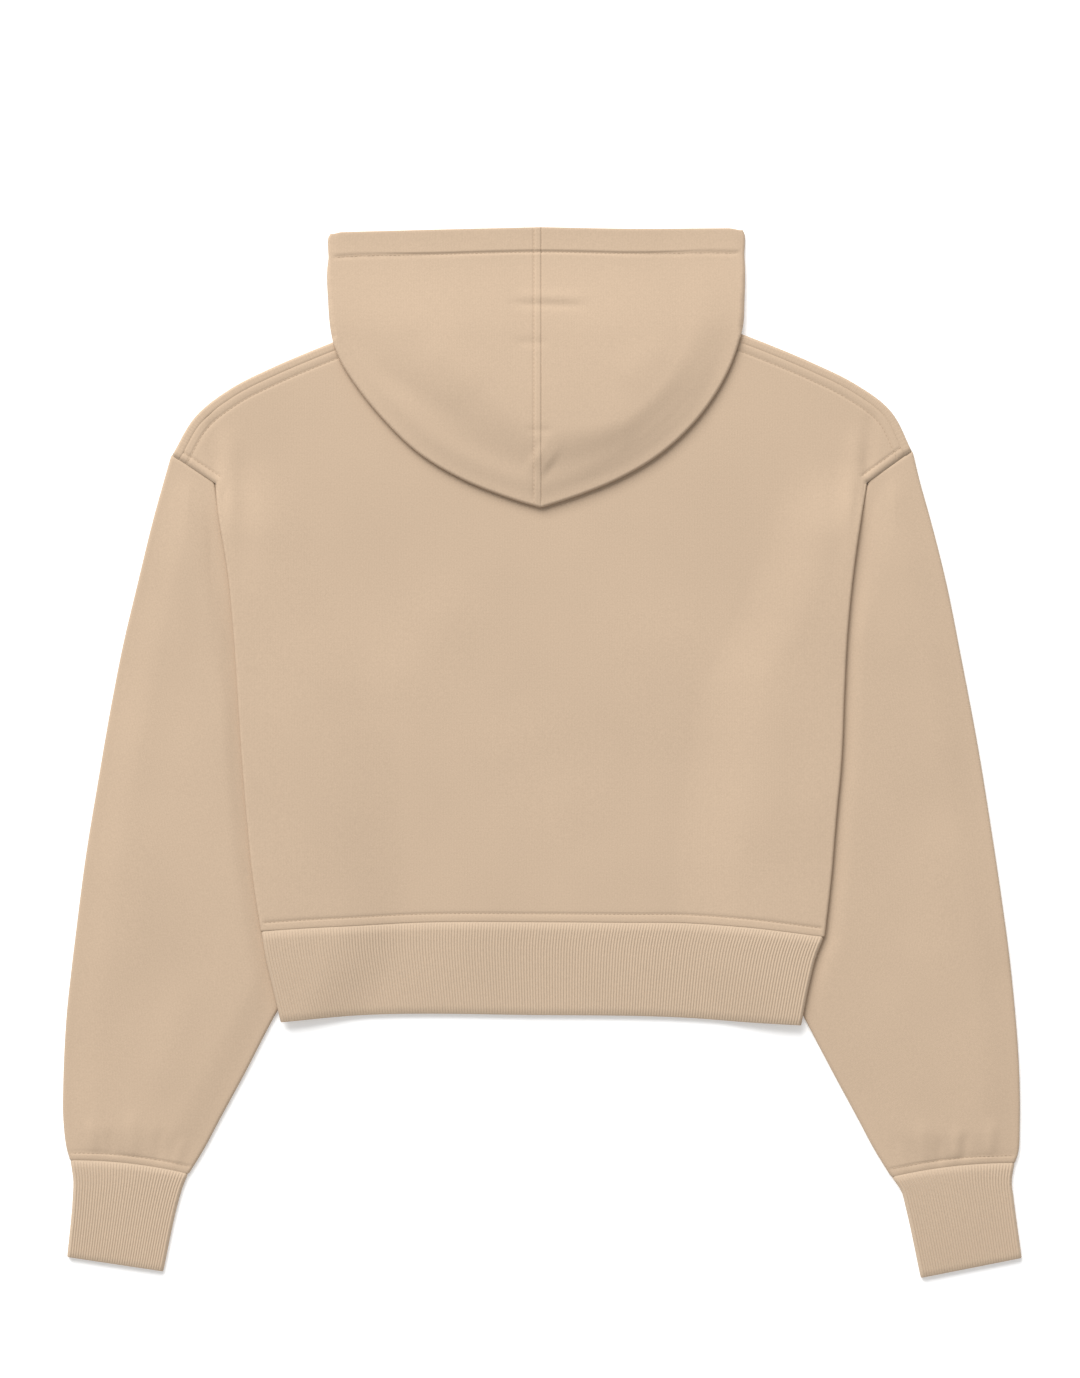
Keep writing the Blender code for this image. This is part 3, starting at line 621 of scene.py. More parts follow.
def fold_rows(starts, outward, low, high, first, last, steps):
    """Rows of points round a fold: from each start, outwards and up between two heights."""
    middle, radius = (low + high) / 2, (high - low) / 2
    rows = []
    for angle in np.radians(np.linspace(first, last, steps + 1)):
        spots = starts + outward * (radius * math.cos(angle))[:, None]
        rows.append(flat(spots, middle + radius * math.sin(angle)))
    return np.array(rows)


# %% [markdown]
# The photo's body is nearly smooth. What marks it has are these: a soft fold where each side starts to
# lie on its sleeve, just under the shoulder, a broad low swelling below the hood, and slight drags
# towards the hem. The front, which is hidden, gets a few of the same kind.

# %% Creases and stitch lines of the body
BACK_CREASES = [
    Crease(-240.0, 250.0, -234.0, 190.0, 4.0, -1.2),
    Crease(-226.0, 240.0, -224.0, 150.0, 7.0, 1.3),
    Crease(-214.0, 226.0, -213.0, 110.0, 9.0, -0.5),
    Crease(238.0, 250.0, 232.0, 190.0, 4.0, -1.2),
    Crease(226.0, 240.0, 222.0, 150.0, 7.0, 1.3),
    Crease(212.0, 226.0, 210.0, 110.0, 9.0, -0.5),
    Crease(-190.0, 60.0, -150.0, -110.0, 16.0, 0.7),
    Crease(176.0, 80.0, 150.0, -100.0, 18.0, 0.8),
    Crease(-60.0, 130.0, -110.0, 20.0, 26.0, 0.9),
    Crease(70.0, 120.0, 110.0, -20.0, 28.0, 0.9),
    Crease(-30.0, 40.0, 40.0, -70.0, 30.0, 0.8),
]
FRONT_CREASES = [
    Crease(-158.0, 96.0, -92.0, -64.0, 15.0, 0.50),
    Crease(146.0, 118.0, 98.0, -46.0, 18.0, 0.55),
    Crease(-84.0, 196.0, 62.0, 176.0, 11.0, 0.45),
    Crease(-46.0, 64.0, 6.0, -92.0, 21.0, 0.40),
    Crease(36.0, 132.0, 74.0, 24.0, 13.0, 0.45),
    Crease(-200.0, 236.0, -150.0, 252.0, 9.0, 0.40),
]
TOPSTITCH = 6.0         # from the seam to the row of stitches beside it
STITCH_WIDTH, STITCH_DEPTH = 1.0, 0.5     # the line that the stitches pull in
STITCH_ROWS = (4.6, 5.3, 6.0, 6.7, 7.4)   # extra rows of the grid across that line
SIDE_FADE = 10.0        # creases fade out this far inside the side folds
CORNER_Y, CORNER_FADE = 178.0, 20.0       # above the armhole's lower corner there is no side fold
BODY_DEEPEST = -0.6     # no trough is deeper, so that the layers stay apart


def body_swell(points):
    """Creases of the back panel, none within reach of the side folds."""
    lines = [np.array(one_side(BODY_SIDES, side)) for side in (-1, 1)]
    away = np.minimum(distance_to(points, lines[0]), distance_to(points, lines[1]))
    above = ease((points[:, 1] - CORNER_Y) / CORNER_FADE)
    inside = np.maximum(ease((away - FOLD) / SIDE_FADE), above)
    return np.maximum(creases(points, BACK_CREASES), BODY_DEEPEST) * inside


def front_swell(points):
    """Creases of the front panel, which lies on the floor and can only lift off it."""
    return creases(points, FRONT_CREASES)


def shoulder_seam(side):
    return top_edge(side, SHOULDER_TURN + MEET, NECK_BACK)[0]


def armhole_seam(side):
    return np.array([one_side(BODY_SIDES, side)[0], shoulder_seam(side)[0]])


def body_stitch_lines():
    """Rows of stitches on the back panel: along the hem, both shoulders and both armholes."""
    hem = even(HEM_SEAM, HEM_STEPS)
    lines = [hem[1:-1] + (0.0, TOPSTITCH)]
    for side in (-1, 1):
        seam = smooth(shoulder_seam(side))
        lines.append(seam + sideways(seam, BODY_MIDDLE) * TOPSTITCH)
        hole = armhole_seam(side)
        lines.append(hole + sideways(hole, ABOVE_NECK) * TOPSTITCH)
    return lines


# %% Make the front and back panels
def panel(height, shoulder_inset, neck_table, roll_from, roll_to, swell, stitch_lines, density):
    grid, kink, shoulders = panel_plan(shoulder_inset, neck_table, *density, STITCH_ROWS)
    grid[0, :, 1] -= MEET
    for column, side in ((0, -1), (-1, 1)):
        grid[kink:, column] = onto(armhole_line(side), grid[kink:, column])
    rows, columns = grid.shape[:2]
    spots = grid.reshape(-1, 2)
    heights = height + rise(spots) + swell(spots)
    surface = np.column_stack([spots, heights]).reshape(rows, columns, 3)
    edges = [grid[0], grid[-1], grid[kink:, 0], grid[kink:, -1]]
    away = np.min([distance_to(spots, edge) for edge in edges], axis=0)
    relief = np.zeros(len(spots))
    for line in stitch_lines:
        relief += trough(distance_to(spots, line), STITCH_WIDTH, STITCH_DEPTH)
    sheet = Sheet()
    sheet.add(surface, grid, relief.reshape(rows, columns), rounded(away).reshape(rows, columns))
    for column, side in ((0, -1), (-1, 1)):
        edge = grid[:kink + 1, column]
        lift = rise(edge)
        arcs = fold_rows(edge, -sideways(edge, BODY_MIDDLE), LOWER + lift, UPPER + lift,
                         roll_from, roll_to, FOLD_STEPS)
        arcs[:, -1, :2] = onto(armhole_line(side), arcs[:, -1, :2])
        arcs[0] = surface[:kink + 1, column]
        halves = np.tile(rounded(distance_to(edge, grid[0])), (len(arcs), 1))
        halves[-1] *= 0.5
        sheet.add(arcs if column == 0 else arcs[:, ::-1], edge[None] if column == 0 else edge[None, ::-1],
                  0.0, halves if column == 0 else halves[:, ::-1])
    return sheet, surface, shoulders


def make_back_panel():
    sheet, _, _ = panel(UPPER, SHOULDER_TURN + MEET, NECK_BACK, 90, SIDE_SEAM,
                        body_swell, body_stitch_lines(), (11, 8))
    return wall("back_panel_cloth", sheet, cloth_finish)


def make_front_panel():
    sheet, surface, shoulders = panel(LOWER, FOLD, NECK_FRONT, -90, -SIDE_SEAM,
                                      front_swell, [], (7, 7))
    for side, edge in ((-1, surface[-1, :shoulders[0] + 1]), (1, surface[-1, shoulders[1]:])):
        outward = -sideways(edge[:, :2], BODY_MIDDLE)
        lift = edge[:, 2] - LOWER
        arcs = fold_rows(edge[:, :2], outward, LOWER + lift, UPPER + lift, -90, 90, 2 * FOLD_STEPS)
        arcs[0] = edge
        reach = SHOULDER_TURN - FOLD + MEET
        inwards = [arcs[-1] - np.column_stack([outward, np.zeros(len(edge))]) * d
                   for d in (reach * 0.5, *[reach - near for near in NEAR_EDGE[::-1]], reach)]
        strip = np.vstack([arcs, inwards])
        end = 0 if side < 0 else -1
        strip[:, end, :2] = onto(armhole_line(side), strip[:, end, :2])
        halves = np.full(strip.shape[:2], CLOTH / 2)
        halves[-4:] = rounded(np.array([*NEAR_EDGE[::-1], 0.0]))[:, None]
        sheet.add(strip, edge[None, :, :2], 0.0, halves)
    return wall("front_panel_cloth", sheet, cloth_finish)


back_panel = make_back_panel()
front_panel = make_front_panel()

# %% [markdown]
# ## Sleeves, cuffs and hem band
#
# Each of these is a tube pressed flat, drawn as a row of closed rings: along the floor, round the
# fold, back on top and round the other fold. The sleeves are a little full, so their upper layer
# lifts softly between the folds where nothing lies on it.

# %% One ring of a flat tube
def ring(line, low_count, high_count):
    """Points of a ring, how far across each lies, and 1 where the point is on the upper layer."""
    length = lengths_along(line)[-1]
    inset = FOLD / length
    low_at = np.linspace(inset, 1 - inset, low_count + 1)
    high_at = np.linspace(1 - inset, inset, high_count + 1)
    low, high = along(line, low_at), along(line, high_at)
    right, left = unit(line[-1] - line[-2]), unit(line[0] - line[1])
    turn = np.radians(np.linspace(-90, 90, FOLD_STEPS + 1)[1:-1])
    arcs = []
    for start, outward, angles in ((low[-1], right, turn), (low[0], left, -turn)):
        spots = start + outward * (FOLD_RADIUS * np.cos(angles))[:, None]
        arcs.append(flat(spots, LOWER + FOLD_RADIUS * (1 + np.sin(angles))))
    points = np.vstack([flat(low, LOWER), arcs[0], flat(high, UPPER), arcs[1], flat(low[:1], LOWER)])
    across = np.concatenate([low_at, np.full(len(turn), 1 - inset), high_at,
                             np.full(len(turn), inset), low_at[:1]]) * length
    upper = np.zeros(len(points))
    upper[low_count + 1 + len(turn):low_count + 2 + len(turn) + high_count] = 1.0
    return points, across, upper


def rings_along(lines, places, low_count, high_count):
    """Rings on the lines, with the distance of each along the tube."""
    made = [ring(line, low_count, high_count) for line in lines]
    points = np.array([one[0] for one in made])
    knit = np.stack([np.array([one[1] for one in made]),
                     np.broadcast_to(np.asarray(places)[:, None], points.shape[:2])], axis=-1)
    return points, knit, made[0][2]


def bowed_lines(table, fractions):
    """Lines across a tube at these fractions of its length, bowed by the table's amount."""
    fine = smooth([tuple(row) for row in table])
    middle = (fine[:, :2] + fine[:, 2:4]) / 2
    at = lengths_along(middle)
    wanted = np.asarray(fractions) * at[-1]
    rows = np.stack([np.interp(wanted, at, fine[:, k]) for k in range(5)], axis=1)
    s = np.linspace(0.0, 1.0, 25)[:, None]
    lines = []
    for left_x, left_y, right_x, right_y, bow in rows:
        left, right = np.array([left_x, left_y]), np.array([right_x, right_y])
        across = unit(right - left)
        lines.append(left + s * (right - left) + np.array([-across[1], across[0]]) * bow * 4 * s * (1 - s))
    return lines, at[-1]


def steps_along(length, spacing, start_near=NEAR_EDGE, end_near=NEAR_EDGE):
    """Distances along a piece: even steps, with more of them near both ends."""
    inner = np.linspace(0.0, length, max(2, round(length / spacing)) + 1)
    return np.unique(np.round(np.concatenate([inner, start_near, length - np.asarray(end_near)]), 4))


# %% [markdown]
# The sleeves have the marks of cloth that was pressed: a long soft fold down the middle, puckers above
# the cuff seam where more cloth is gathered into the rib, and slight drags under the shoulder.

# %% Creases of the sleeves
SLEEVE_CREASES = {
    -1: [
        Crease(-239.0, 178.0, -222.0, 30.0, 6.5, -1.3),
        Crease(-222.0, 30.0, -206.0, -125.0, 6.5, -1.1),
        Crease(-258.0, 175.0, -262.0, 40.0, 11.0, 0.5),
        Crease(-275.0, 120.0, -300.0, -60.0, 16.0, 0.7),
        Crease(-285.0, -20.0, -300.0, -190.0, 20.0, 0.9),
        Crease(-250.0, -150.0, -285.0, -270.0, 14.0, 0.7),
        Crease(-322.0, -292.0, -326.0, -262.0, 3.4, 0.7),
        Crease(-309.0, -293.0, -313.0, -270.0, 3.0, -0.5),
        Crease(-294.0, -295.0, -296.0, -255.0, 4.5, 0.6),
        Crease(-277.0, -299.0, -275.0, -268.0, 3.4, -0.5),
        Crease(-265.0, -301.0, -258.0, -276.0, 3.6, 0.6),
    ],
    1: [
        Crease(256.0, 175.0, 260.0, 40.0, 11.0, 0.4),
        Crease(272.0, 130.0, 296.0, -50.0, 16.0, 0.7),
        Crease(280.0, -30.0, 296.0, -200.0, 20.0, 0.9),
        Crease(244.0, -150.0, 280.0, -270.0, 14.0, 0.7),
        Crease(322.0, -294.0, 324.0, -262.0, 3.6, 0.7),
        Crease(304.0, -296.0, 305.0, -272.0, 2.6, -0.8),
        Crease(297.0, -297.0, 298.0, -268.0, 3.0, 0.7),
        Crease(286.0, -300.0, 285.0, -276.0, 2.6, -0.7),
        Crease(276.0, -301.0, 272.0, -262.0, 4.0, 0.6),
        Crease(262.0, -304.0, 255.0, -280.0, 3.2, 0.5),
    ],
}
SLEEVE_FULLNESS = 1.9
FULL_INSET, FULL_ENDS = 26.0, 30.0     # how far the fullness takes to rise from a fold and from an end
SLEEVE_DEEPEST = -0.55
UNDER_SHARE = 0.5      # the sleeve's lower layer has the same ridges, half as high
OVERLAP = 12.0         # the part under the body stays flat, and this far out it is free


def body_side(side):
    return np.array(one_side(BODY_SIDES + BAND_SIDES[1:], side))[::-1]


def clear_of_body(spots, side):
    """0 under the body, 1 once a point is well clear of its side edge or past the hem."""
    edge = body_side(side)
    reach = side * np.interp(spots[:, 1], edge[:, 1], edge[:, 0])
    out = side * spots[:, 0] - reach
    past = edge[0, 1] - spots[:, 1]
    return np.maximum(ease((out - 1.0) / OVERLAP), ease(past / OVERLAP))


# %% Make the sleeves
SLEEVE_ROW, SLEEVE_COLUMNS = 3.2, (30, 56)     # spacing of the rings, and points on a ring's two layers
CUFF_STITCH = TOPSTITCH - 0.6                  # from the cuff's seam to the row of stitches


def widened(table, side):
    """The sleeve's rows with the side next to the body moved up to it."""
    inner = "right_x" if side < 0 else "left_x"
    return [row._replace(**{inner: getattr(row, inner) - side * MEET}) for row in table]


def make_sleeve(name, rows_of_table, side):
    table = widened(rows_of_table, side)
    _, length = bowed_lines(table, [0.0, 1.0])
    near_cuff = (*NEAR_EDGE, *[row - TOPSTITCH + CUFF_STITCH for row in STITCH_ROWS])
    places = steps_along(length, SLEEVE_ROW, NEAR_EDGE, near_cuff)
    lines, _ = bowed_lines(table, places / length)
    points, knit, upper = rings_along(lines, places, *SLEEVE_COLUMNS)
    rows, columns = points.shape[:2]
    spots = points[..., :2].reshape(-1, 2)
    outlines = [np.array([line[0] for line in lines]), np.array([line[-1] for line in lines])]
    away = np.min([distance_to(spots, edge) for edge in outlines], axis=0)
    ends = np.minimum(places, length - places)
    full = SLEEVE_FULLNESS * ease((away - FOLD) / FULL_INSET).reshape(rows, columns)
    full = full * ease(ends / FULL_ENDS)[:, None]
    folded = creases(spots, SLEEVE_CREASES[side]) * ease((away - FOLD) / 6.0)
    clear = clear_of_body(spots, side).reshape(rows, columns)
    folded = folded.reshape(rows, columns)
    above = full + np.maximum(folded, SLEEVE_DEEPEST)
    below = UNDER_SHARE * np.maximum(folded, 0.0)
    points[..., 2] += clear * np.where(upper[None] > 0, above, below)
    points[0, :, :2] = onto(armhole_line(side), points[0, :, :2])
    points[-1, :, 1] -= MEET
    seam = np.array(lines[-1]) - (0.0, MEET)
    from_row = np.abs(distance_to(spots, seam) - CUFF_STITCH).reshape(rows, columns)
    stitch = trough(from_row, STITCH_WIDTH, STITCH_DEPTH)
    halves = np.broadcast_to(rounded(ends)[:, None], (rows, columns))
    sheet = Sheet()
    sheet.add(points, knit, stitch * upper[None], halves)
    return wall(name, sheet, cloth_finish), seam


sleeve_left, cuff_seam_left = make_sleeve("sleeve_left_cloth", SLEEVE_LEFT, -1)
sleeve_right, cuff_seam_right = make_sleeve("sleeve_right_cloth", SLEEVE_RIGHT, 1)

# %% [markdown]
# ## Rib knit
#
# Cuffs and hem band are rib knit, with a rib every 2.1 mm. The ribs are real form, so they are in the
# shell: round crests with narrow valleys, all the way round the tube. The number of ribs is fixed by
# the knitting, so they draw closer where the band is narrower.

# %% Ribs on a ring
RIB_HEIGHT = 0.65
HEM_RIBS, CUFF_RIBS = 188, 37
POINTS_PER_RIB = 6
CUFF_ROW, BAND_ROW, BAND_DEPTH = 4.5, 6.0, 66.0
BAND_END = 1.5         # the ribs settle over this length at both ends of a band


def make_band(name, lines, places, seam, ribs, lift):
    """A ribbed tube that starts at a seam. Its outer skin has the ribs."""
    count = ribs * POINTS_PER_RIB
    points, knit, upper = rings_along(lines, places, count, count)
    points[0, :, 1] = np.interp(points[0, :, 0], seam[:, 0], seam[:, 1])
    if lift:
        rows, columns = points.shape[:2]
        points[..., 2] += rise(points[..., :2].reshape(-1, 2)).reshape(rows, columns)
    phase = np.zeros(points.shape[1])
    layer = np.arange(count + 1) / POINTS_PER_RIB
    first = count + 1 + (FOLD_STEPS - 1)
    profile = 1 - np.abs(np.sin(np.pi * layer)) ** 3
    phase[:count + 1] = profile - 1
    phase[first:first + count + 1] = profile
    ends = np.minimum(places, places[-1] - places)
    settle = ease(ends / BAND_END)[:, None]
    relief = RIB_HEIGHT * phase[None] * settle
    halves = np.broadcast_to(rounded(ends)[:, None], points.shape[:2])
    sheet = Sheet()
    sheet.add(points, knit, relief, halves)
    return wall(name, sheet, rib_finish)


# %% Make the cuffs and the hem band
def make_cuff(name, table, seam):
    _, length = bowed_lines(table, [0.0, 1.0])
    places = steps_along(length, CUFF_ROW)
    lines, _ = bowed_lines(table, places / length)
    return make_band(name, lines, places, seam, CUFF_RIBS, False)


def make_hem_band():
    steps = HEM_RIBS * 2
    high = even(HEM_SEAM, steps) - (0.0, 0.5)
    low = even(BAND_EDGE, steps)
    left, right = smooth(one_side(BAND_SIDES, -1)), smooth(one_side(BAND_SIDES, 1))
    places = steps_along(BAND_DEPTH, BAND_ROW)
    down = places / BAND_DEPTH
    left, right = along(left, down), along(right, down)
    high[0], high[-1] = left[0], right[0]
    seam = even(HEM_SEAM, steps) - (0.0, MEET)
    lines = coons(high, low, left, right, down)
    return make_band("hem_band_rib", list(lines), places, seam, HEM_RIBS, True)


cuff_left = make_cuff("cuff_left_rib", CUFF_LEFT, cuff_seam_left)
cuff_right = make_cuff("cuff_right_rib", CUFF_RIGHT, cuff_seam_right)
hem_band = make_hem_band()

# %% [markdown]
# ## The hood
#
# The hood lies on the back, opening edge to the top. Round its lower edge the cloth turns under in a
# soft roll, inside that is a shallow valley, and the middle is a low plateau. Both halves meet at the
# centre seam, whose allowance is pressed to one side and stitched down.

# %% The hood's height
HOOD_PUFF, PUFF_INSET, PUFF_REACH, PUFF_FADE = 1.4, 15.0, 9.0, 60.0
PLATEAU, PLATEAU_FROM, PLATEAU_WIDTH = 8.0, 6.0, 48.0
STEEPER, STEEPER_OVER = 18.0, 58.0       # the plateau's slope is shorter on the right
HOOD_CREASES = [
    Crease(-30.0, 322.5, 36.0, 321.0, 2.8, -0.8),
    Crease(-26.0, 328.0, 40.0, 326.5, 4.0, 0.5),
    Crease(-24.0, 294.5, 8.0, 294.0, 3.0, -0.5),
    Crease(-14.0, 231.5, 10.0, 230.5, 2.6, -0.6),
    Crease(-8.0, 216.0, 8.0, 205.0, 11.0, 1.4),
    Crease(-126.0, 282.0, -44.0, 228.0, 9.0, -0.7),
    Crease(124.0, 272.0, 30.0, 200.0, 14.0, -1.0),
    Crease(-90.0, 300.0, -40.0, 255.0, 14.0, 0.6),
    Crease(96.0, 300.0, 50.0, 260.0, 14.0, 0.8),
]
PLATEAU_END, PLATEAU_CLIMB = 366.0, 160.0    # y of the plateau's upper end, and how long it climbs
CREASES_FROM, CREASES_FADE = 6.0, 10.0
HEM_TURN = 18.0          # depth of the hood's turned edge


def hood_height(points, outline, side):
    """Height of the visible layer's middle over the floor."""
    climb = ease((HOOD_LOW_Y - points[:, 1]) / (HOOD_LOW_Y - HOOD_HIGH_Y))
    away = distance_to(points, outline)
    soft = np.exp(-((away - PUFF_INSET) / PUFF_REACH) ** 2) * ease((HOOD_HIGH_Y - points[:, 1]) / PUFF_FADE)
    world = points * (side, 1.0) + (CENTRE, 0.0)
    width = PLATEAU_WIDTH - STEEPER * np.clip(world[:, 0] / STEEPER_OVER, -1.0, 1.0)
    inner = ease((away - PLATEAU_FROM) / width) * ease((PLATEAU_END - points[:, 1]) / PLATEAU_CLIMB)
    folds = creases(world, HOOD_CREASES) * ease((away - CREASES_FROM) / CREASES_FADE)
    return UPPER + (HOOD_OVER - UPPER) * climb + HOOD_PUFF * soft + PLATEAU * inner + folds


# %% The hood's plan
HOOD_HIGH_ROWS, HOOD_TIP_ROWS = 3, 10
LOW_ROWS = len(FLAP_BENDS) + 2
FLAP_COLUMNS, BEND_COLUMN = 5, 2
HOOD_FINE = 9
SIDE_ROWS = (LOW_ROWS + HOOD_HIGH_ROWS) * HOOD_FINE
TIP_STEPS = HOOD_TIP_ROWS * HOOD_FINE


def neck_side_of(side):
    shoulder = np.array(SHOULDER_LEFT if side < 0 else SHOULDER_RIGHT, float)
    shoulder[:, 0] = side * (shoulder[:, 0] - CENTRE)
    along_shoulder = unit(shoulder[-1] - shoulder[-2])
    outward = np.array([-along_shoulder[1], along_shoulder[0]])
    return {"point": shoulder[-1], "inwards": along_shoulder, "outward": outward * np.sign(outward[1])}


def hood_outline(side, neck_side, fine):
    """The outline past the shoulder and below it, each coarse step cut into fine ones."""
    outline = smooth(one_side(HOOD_SIDE, side))
    over = ((outline - neck_side["point"]) * neck_side["outward"]).sum(axis=1)
    flap = along(outline[over >= SHOULDER_CLEAR], np.linspace(0.0, 1.0, (LOW_ROWS - 1) * fine + 1))
    under_steps = (HOOD_HIGH_ROWS + HOOD_TIP_ROWS) * fine
    under = along(outline[over <= -SHOULDER_OVER], np.linspace(0.0, 1.0, under_steps + 1))
    between = along(np.array([flap[-1], under[0]]), np.linspace(0.0, 1.0, fine + 1))[1:-1]
    return np.vstack([flap, between, under]), outline


def bent_row(start, bend, end):
    return np.vstack([even([start, bend], BEND_COLUMN),
                      even([bend, end], FLAP_COLUMNS - BEND_COLUMN)[1:]])


def hood_lower_rows(side, neck_side, starts):
    """The lower layer's coarse rows from the neckline to the outline's fold, opening edge first."""
    _, neck = top_edge(side, FOLD, NECK_FRONT)
    neck = (neck[::-1] - (CENTRE, 0.0)) * (side, 1.0)
    neck = neck + sideways(neck, ABOVE_NECK) * 0.4
    neck[0, 0] = 0.0
    rows = []
    for number, bend in enumerate(FLAP_BENDS):
        rows.append(bent_row(neck[number], neck_side["point"] + bend, starts[number]))
    rows.append(bent_row(neck_side["point"] + TURN_START, neck_side["point"] + TURN_BEND,
                         starts[LOW_ROWS - 2]))
    for number, distance in ((LOW_ROWS - 1, SHOULDER_CLEAR), (LOW_ROWS, -SHOULDER_OVER)):
        begin = neck_side["point"] + neck_side["outward"] * distance + neck_side["inwards"] * NECK_STEP
        rows.append(even([begin, starts[number]], FLAP_COLUMNS))
    behind = even([rows[-1][0]] + [tuple(spot) for spot in NECK_BACK], HOOD_HIGH_ROWS + HOOD_TIP_ROWS)
    behind[-1, 0] = 0.0
    for number, spot in enumerate(behind[1:], LOW_ROWS + 1):
        rows.append(even([spot, starts[number]], FLAP_COLUMNS))
    return np.array(rows)


# %% Make the two halves of the hood
SEAM_PRESS = 5.0        # the centre seam's allowance is pressed this far to the left
TURN_HEIGHT, TURN_STEP = 0.5, 2.0          # the turned edge is thicker, and ends over this length
PRESS_HEIGHT, PRESS_STEP = 0.45, 1.2       # so is the pressed seam
PRESS_COLUMNS = (1.6, 2.4, 3.2, 4.2, 4.6, 5.0, 5.4, 5.8, 6.4)     # extra columns beside the seam
MARKS_FROM, MARKS_FADE = 2.0, 5.0
HOOD_WIDTH = 150.0      # of one half, near enough to space the columns


def hood_top_line():
    """The hood's top edge from left to right."""
    left, right = np.array(one_side(HOOD_TOP, -1)), np.array(one_side(HOOD_TOP[-2::-1], 1))
    return smooth(np.vstack([left * (-1, 1), right]) + (CENTRE, 0.0))


def hood_marks(world):
    """Relief of the hood's outer skin: the turned edge, its stitch line and the pressed seam."""
    top = hood_top_line()
    down = np.interp(world[:, 0], top[:, 0], top[:, 1]) - world[:, 1]
    turned = TURN_HEIGHT * (1 - ease((down - HEM_TURN + TURN_STEP) / TURN_STEP))
    beside = CENTRE - SEAM_PRESS - world[:, 0]
    pressed = PRESS_HEIGHT * (world[:, 0] < CENTRE) * (1 - ease(beside / PRESS_STEP + 0.5))
    return turned + pressed + trough(down - HEM_TURN, 1.2, 0.6) + trough(beside, 0.9, 0.5)


def hood_fold(side, neck_side):
    """The fold round a half: its edge, the way it faces, its lower height and where it starts."""
    outline, edge_line = hood_outline(side, neck_side, HOOD_FINE)
    outline[-1, 0] = 0.0
    outward = -sideways(outline, HOOD_MIDDLE)
    outward[0], outward[-1] = (1.0, 0.0), (0.0, -1.0)
    number = np.arange(len(outline)) / HOOD_FINE
    low = LOWER + (HOOD_UNDER - LOWER) * np.clip(number - (LOW_ROWS - 1), 0.0, 1.0)
    high = hood_height(outline, edge_line, side)
    inset = CLOTH / 2 + (high - low) / 2
    starts = outline - outward * inset[:, None]
    starts[-1, 0] = 0.0
    return edge_line, outward, low, starts


def hood_plan(side, starts):
    """Fine grid of the upper layer's places, its top edge, and the places along its outer border."""
    top = np.vstack([starts[0], smooth(one_side(HOOD_TOP, side)[2:])])
    top = along(top, np.linspace(0.0, 1.0, TIP_STEPS + 1))
    top[-1, 0] = 0.0
    seam = even([top[-1], starts[-1]], SIDE_ROWS)
    plan = coons(top, starts[SIDE_ROWS:], starts[:SIDE_ROWS + 1], seam)
    row_step, column_step = lengths_along(seam)[-1] / SIDE_ROWS, HOOD_WIDTH / TIP_STEPS
    near_top = np.array(NEAR_EDGE) / row_step
    near_hem = np.arange(HEM_TURN - 2.4, HEM_TURN + 3.6, 0.6) / row_step
    row_places = places_between(SIDE_ROWS, 1, np.concatenate([near_top, near_hem]), ())
    near_seam = np.array([*NEAR_EDGE, *PRESS_COLUMNS]) / column_step
    column_places = places_between(TIP_STEPS, 1, (), near_seam)
    plan = finer_across(finer(plan, row_places), column_places)
    return plan, top, np.concatenate([row_places, SIDE_ROWS + column_places[1:]])


def upper_layer(side, plan, top, edge_line):
    """Points, relief and half thickness of the layer that shows."""
    spots = plan.reshape(-1, 2)
    heights = hood_height(spots, edge_line, side)
    points = np.column_stack([spots, heights]).reshape(*plan.shape[:2], 3)
    world = spots * (side, 1.0) + (CENTRE, 0.0)
    at_top, at_seam = rounded(distance_to(spots, top), left=FREE), rounded(np.maximum(spots[:, 0], 0.0))
    halves = np.minimum(at_top, at_seam).reshape(plan.shape[:2])
    inside = ease((distance_to(spots, edge_line) - MARKS_FROM) / MARKS_FADE)
    return points, (hood_marks(world) * inside).reshape(plan.shape[:2]), halves


def under_layer(side, neck_side, low, starts, border_places, fold_end, end_halves):
    """Points and half thickness of the layer below, from the fold's last row to the neckline."""
    coarse = hood_lower_rows(side, neck_side, starts[::HOOD_FINE])
    heights = np.repeat(low[::HOOD_FINE, None], coarse.shape[1], axis=1)
    points = finer(np.dstack([coarse, heights]), border_places / HOOD_FINE, (LOW_ROWS - 1, LOW_ROWS))
    points = finer_across(points, places_between(FLAP_COLUMNS, 6), (BEND_COLUMN,))
    points[:, -1] = fold_end
    halves = np.full(points.shape[:2], CLOTH / 2)
    halves[:4] = rounded(np.array([0.0, *NEAR_EDGE]))[:, None]
    halves[:, -1] = end_halves
    return points[:, ::-1].transpose(1, 0, 2), halves[:, ::-1].T


def make_hood_half(name, side):
    neck_side = neck_side_of(side)
    edge_line, outward, low, starts = hood_fold(side, neck_side)
    plan, top, border_places = hood_plan(side, starts)
    upper, marks, halves = upper_layer(side, plan, top, edge_line)
    border = np.vstack([upper[:, 0], upper[-1, 1:]])
    border_halves = np.concatenate([halves[:, 0], halves[-1, 1:]])
    facing = unit(finer(outward, border_places, (SIDE_ROWS,)))
    border_low = np.interp(border_places, np.arange(len(low)), low)
    arcs = fold_rows(border[:, :2], facing, border_low, border[:, 2], 90, -90, 2 * FOLD_STEPS)
    arcs[0] = border
    under, under_halves = under_layer(side, neck_side, low, starts, border_places, arcs[-1], border_halves)
    sheet = Sheet()
    sheet.add(upper, plan, marks, halves)
    sheet.add(arcs, border[None, :, :2], 0.0, border_halves)
    sheet.add(under, under[..., :2], 0.0, under_halves)
    for points in sheet.points:
        points[:, 0] = CENTRE + side * points[:, 0]
    return wall(name, sheet, cloth_finish, seam_x=CENTRE)


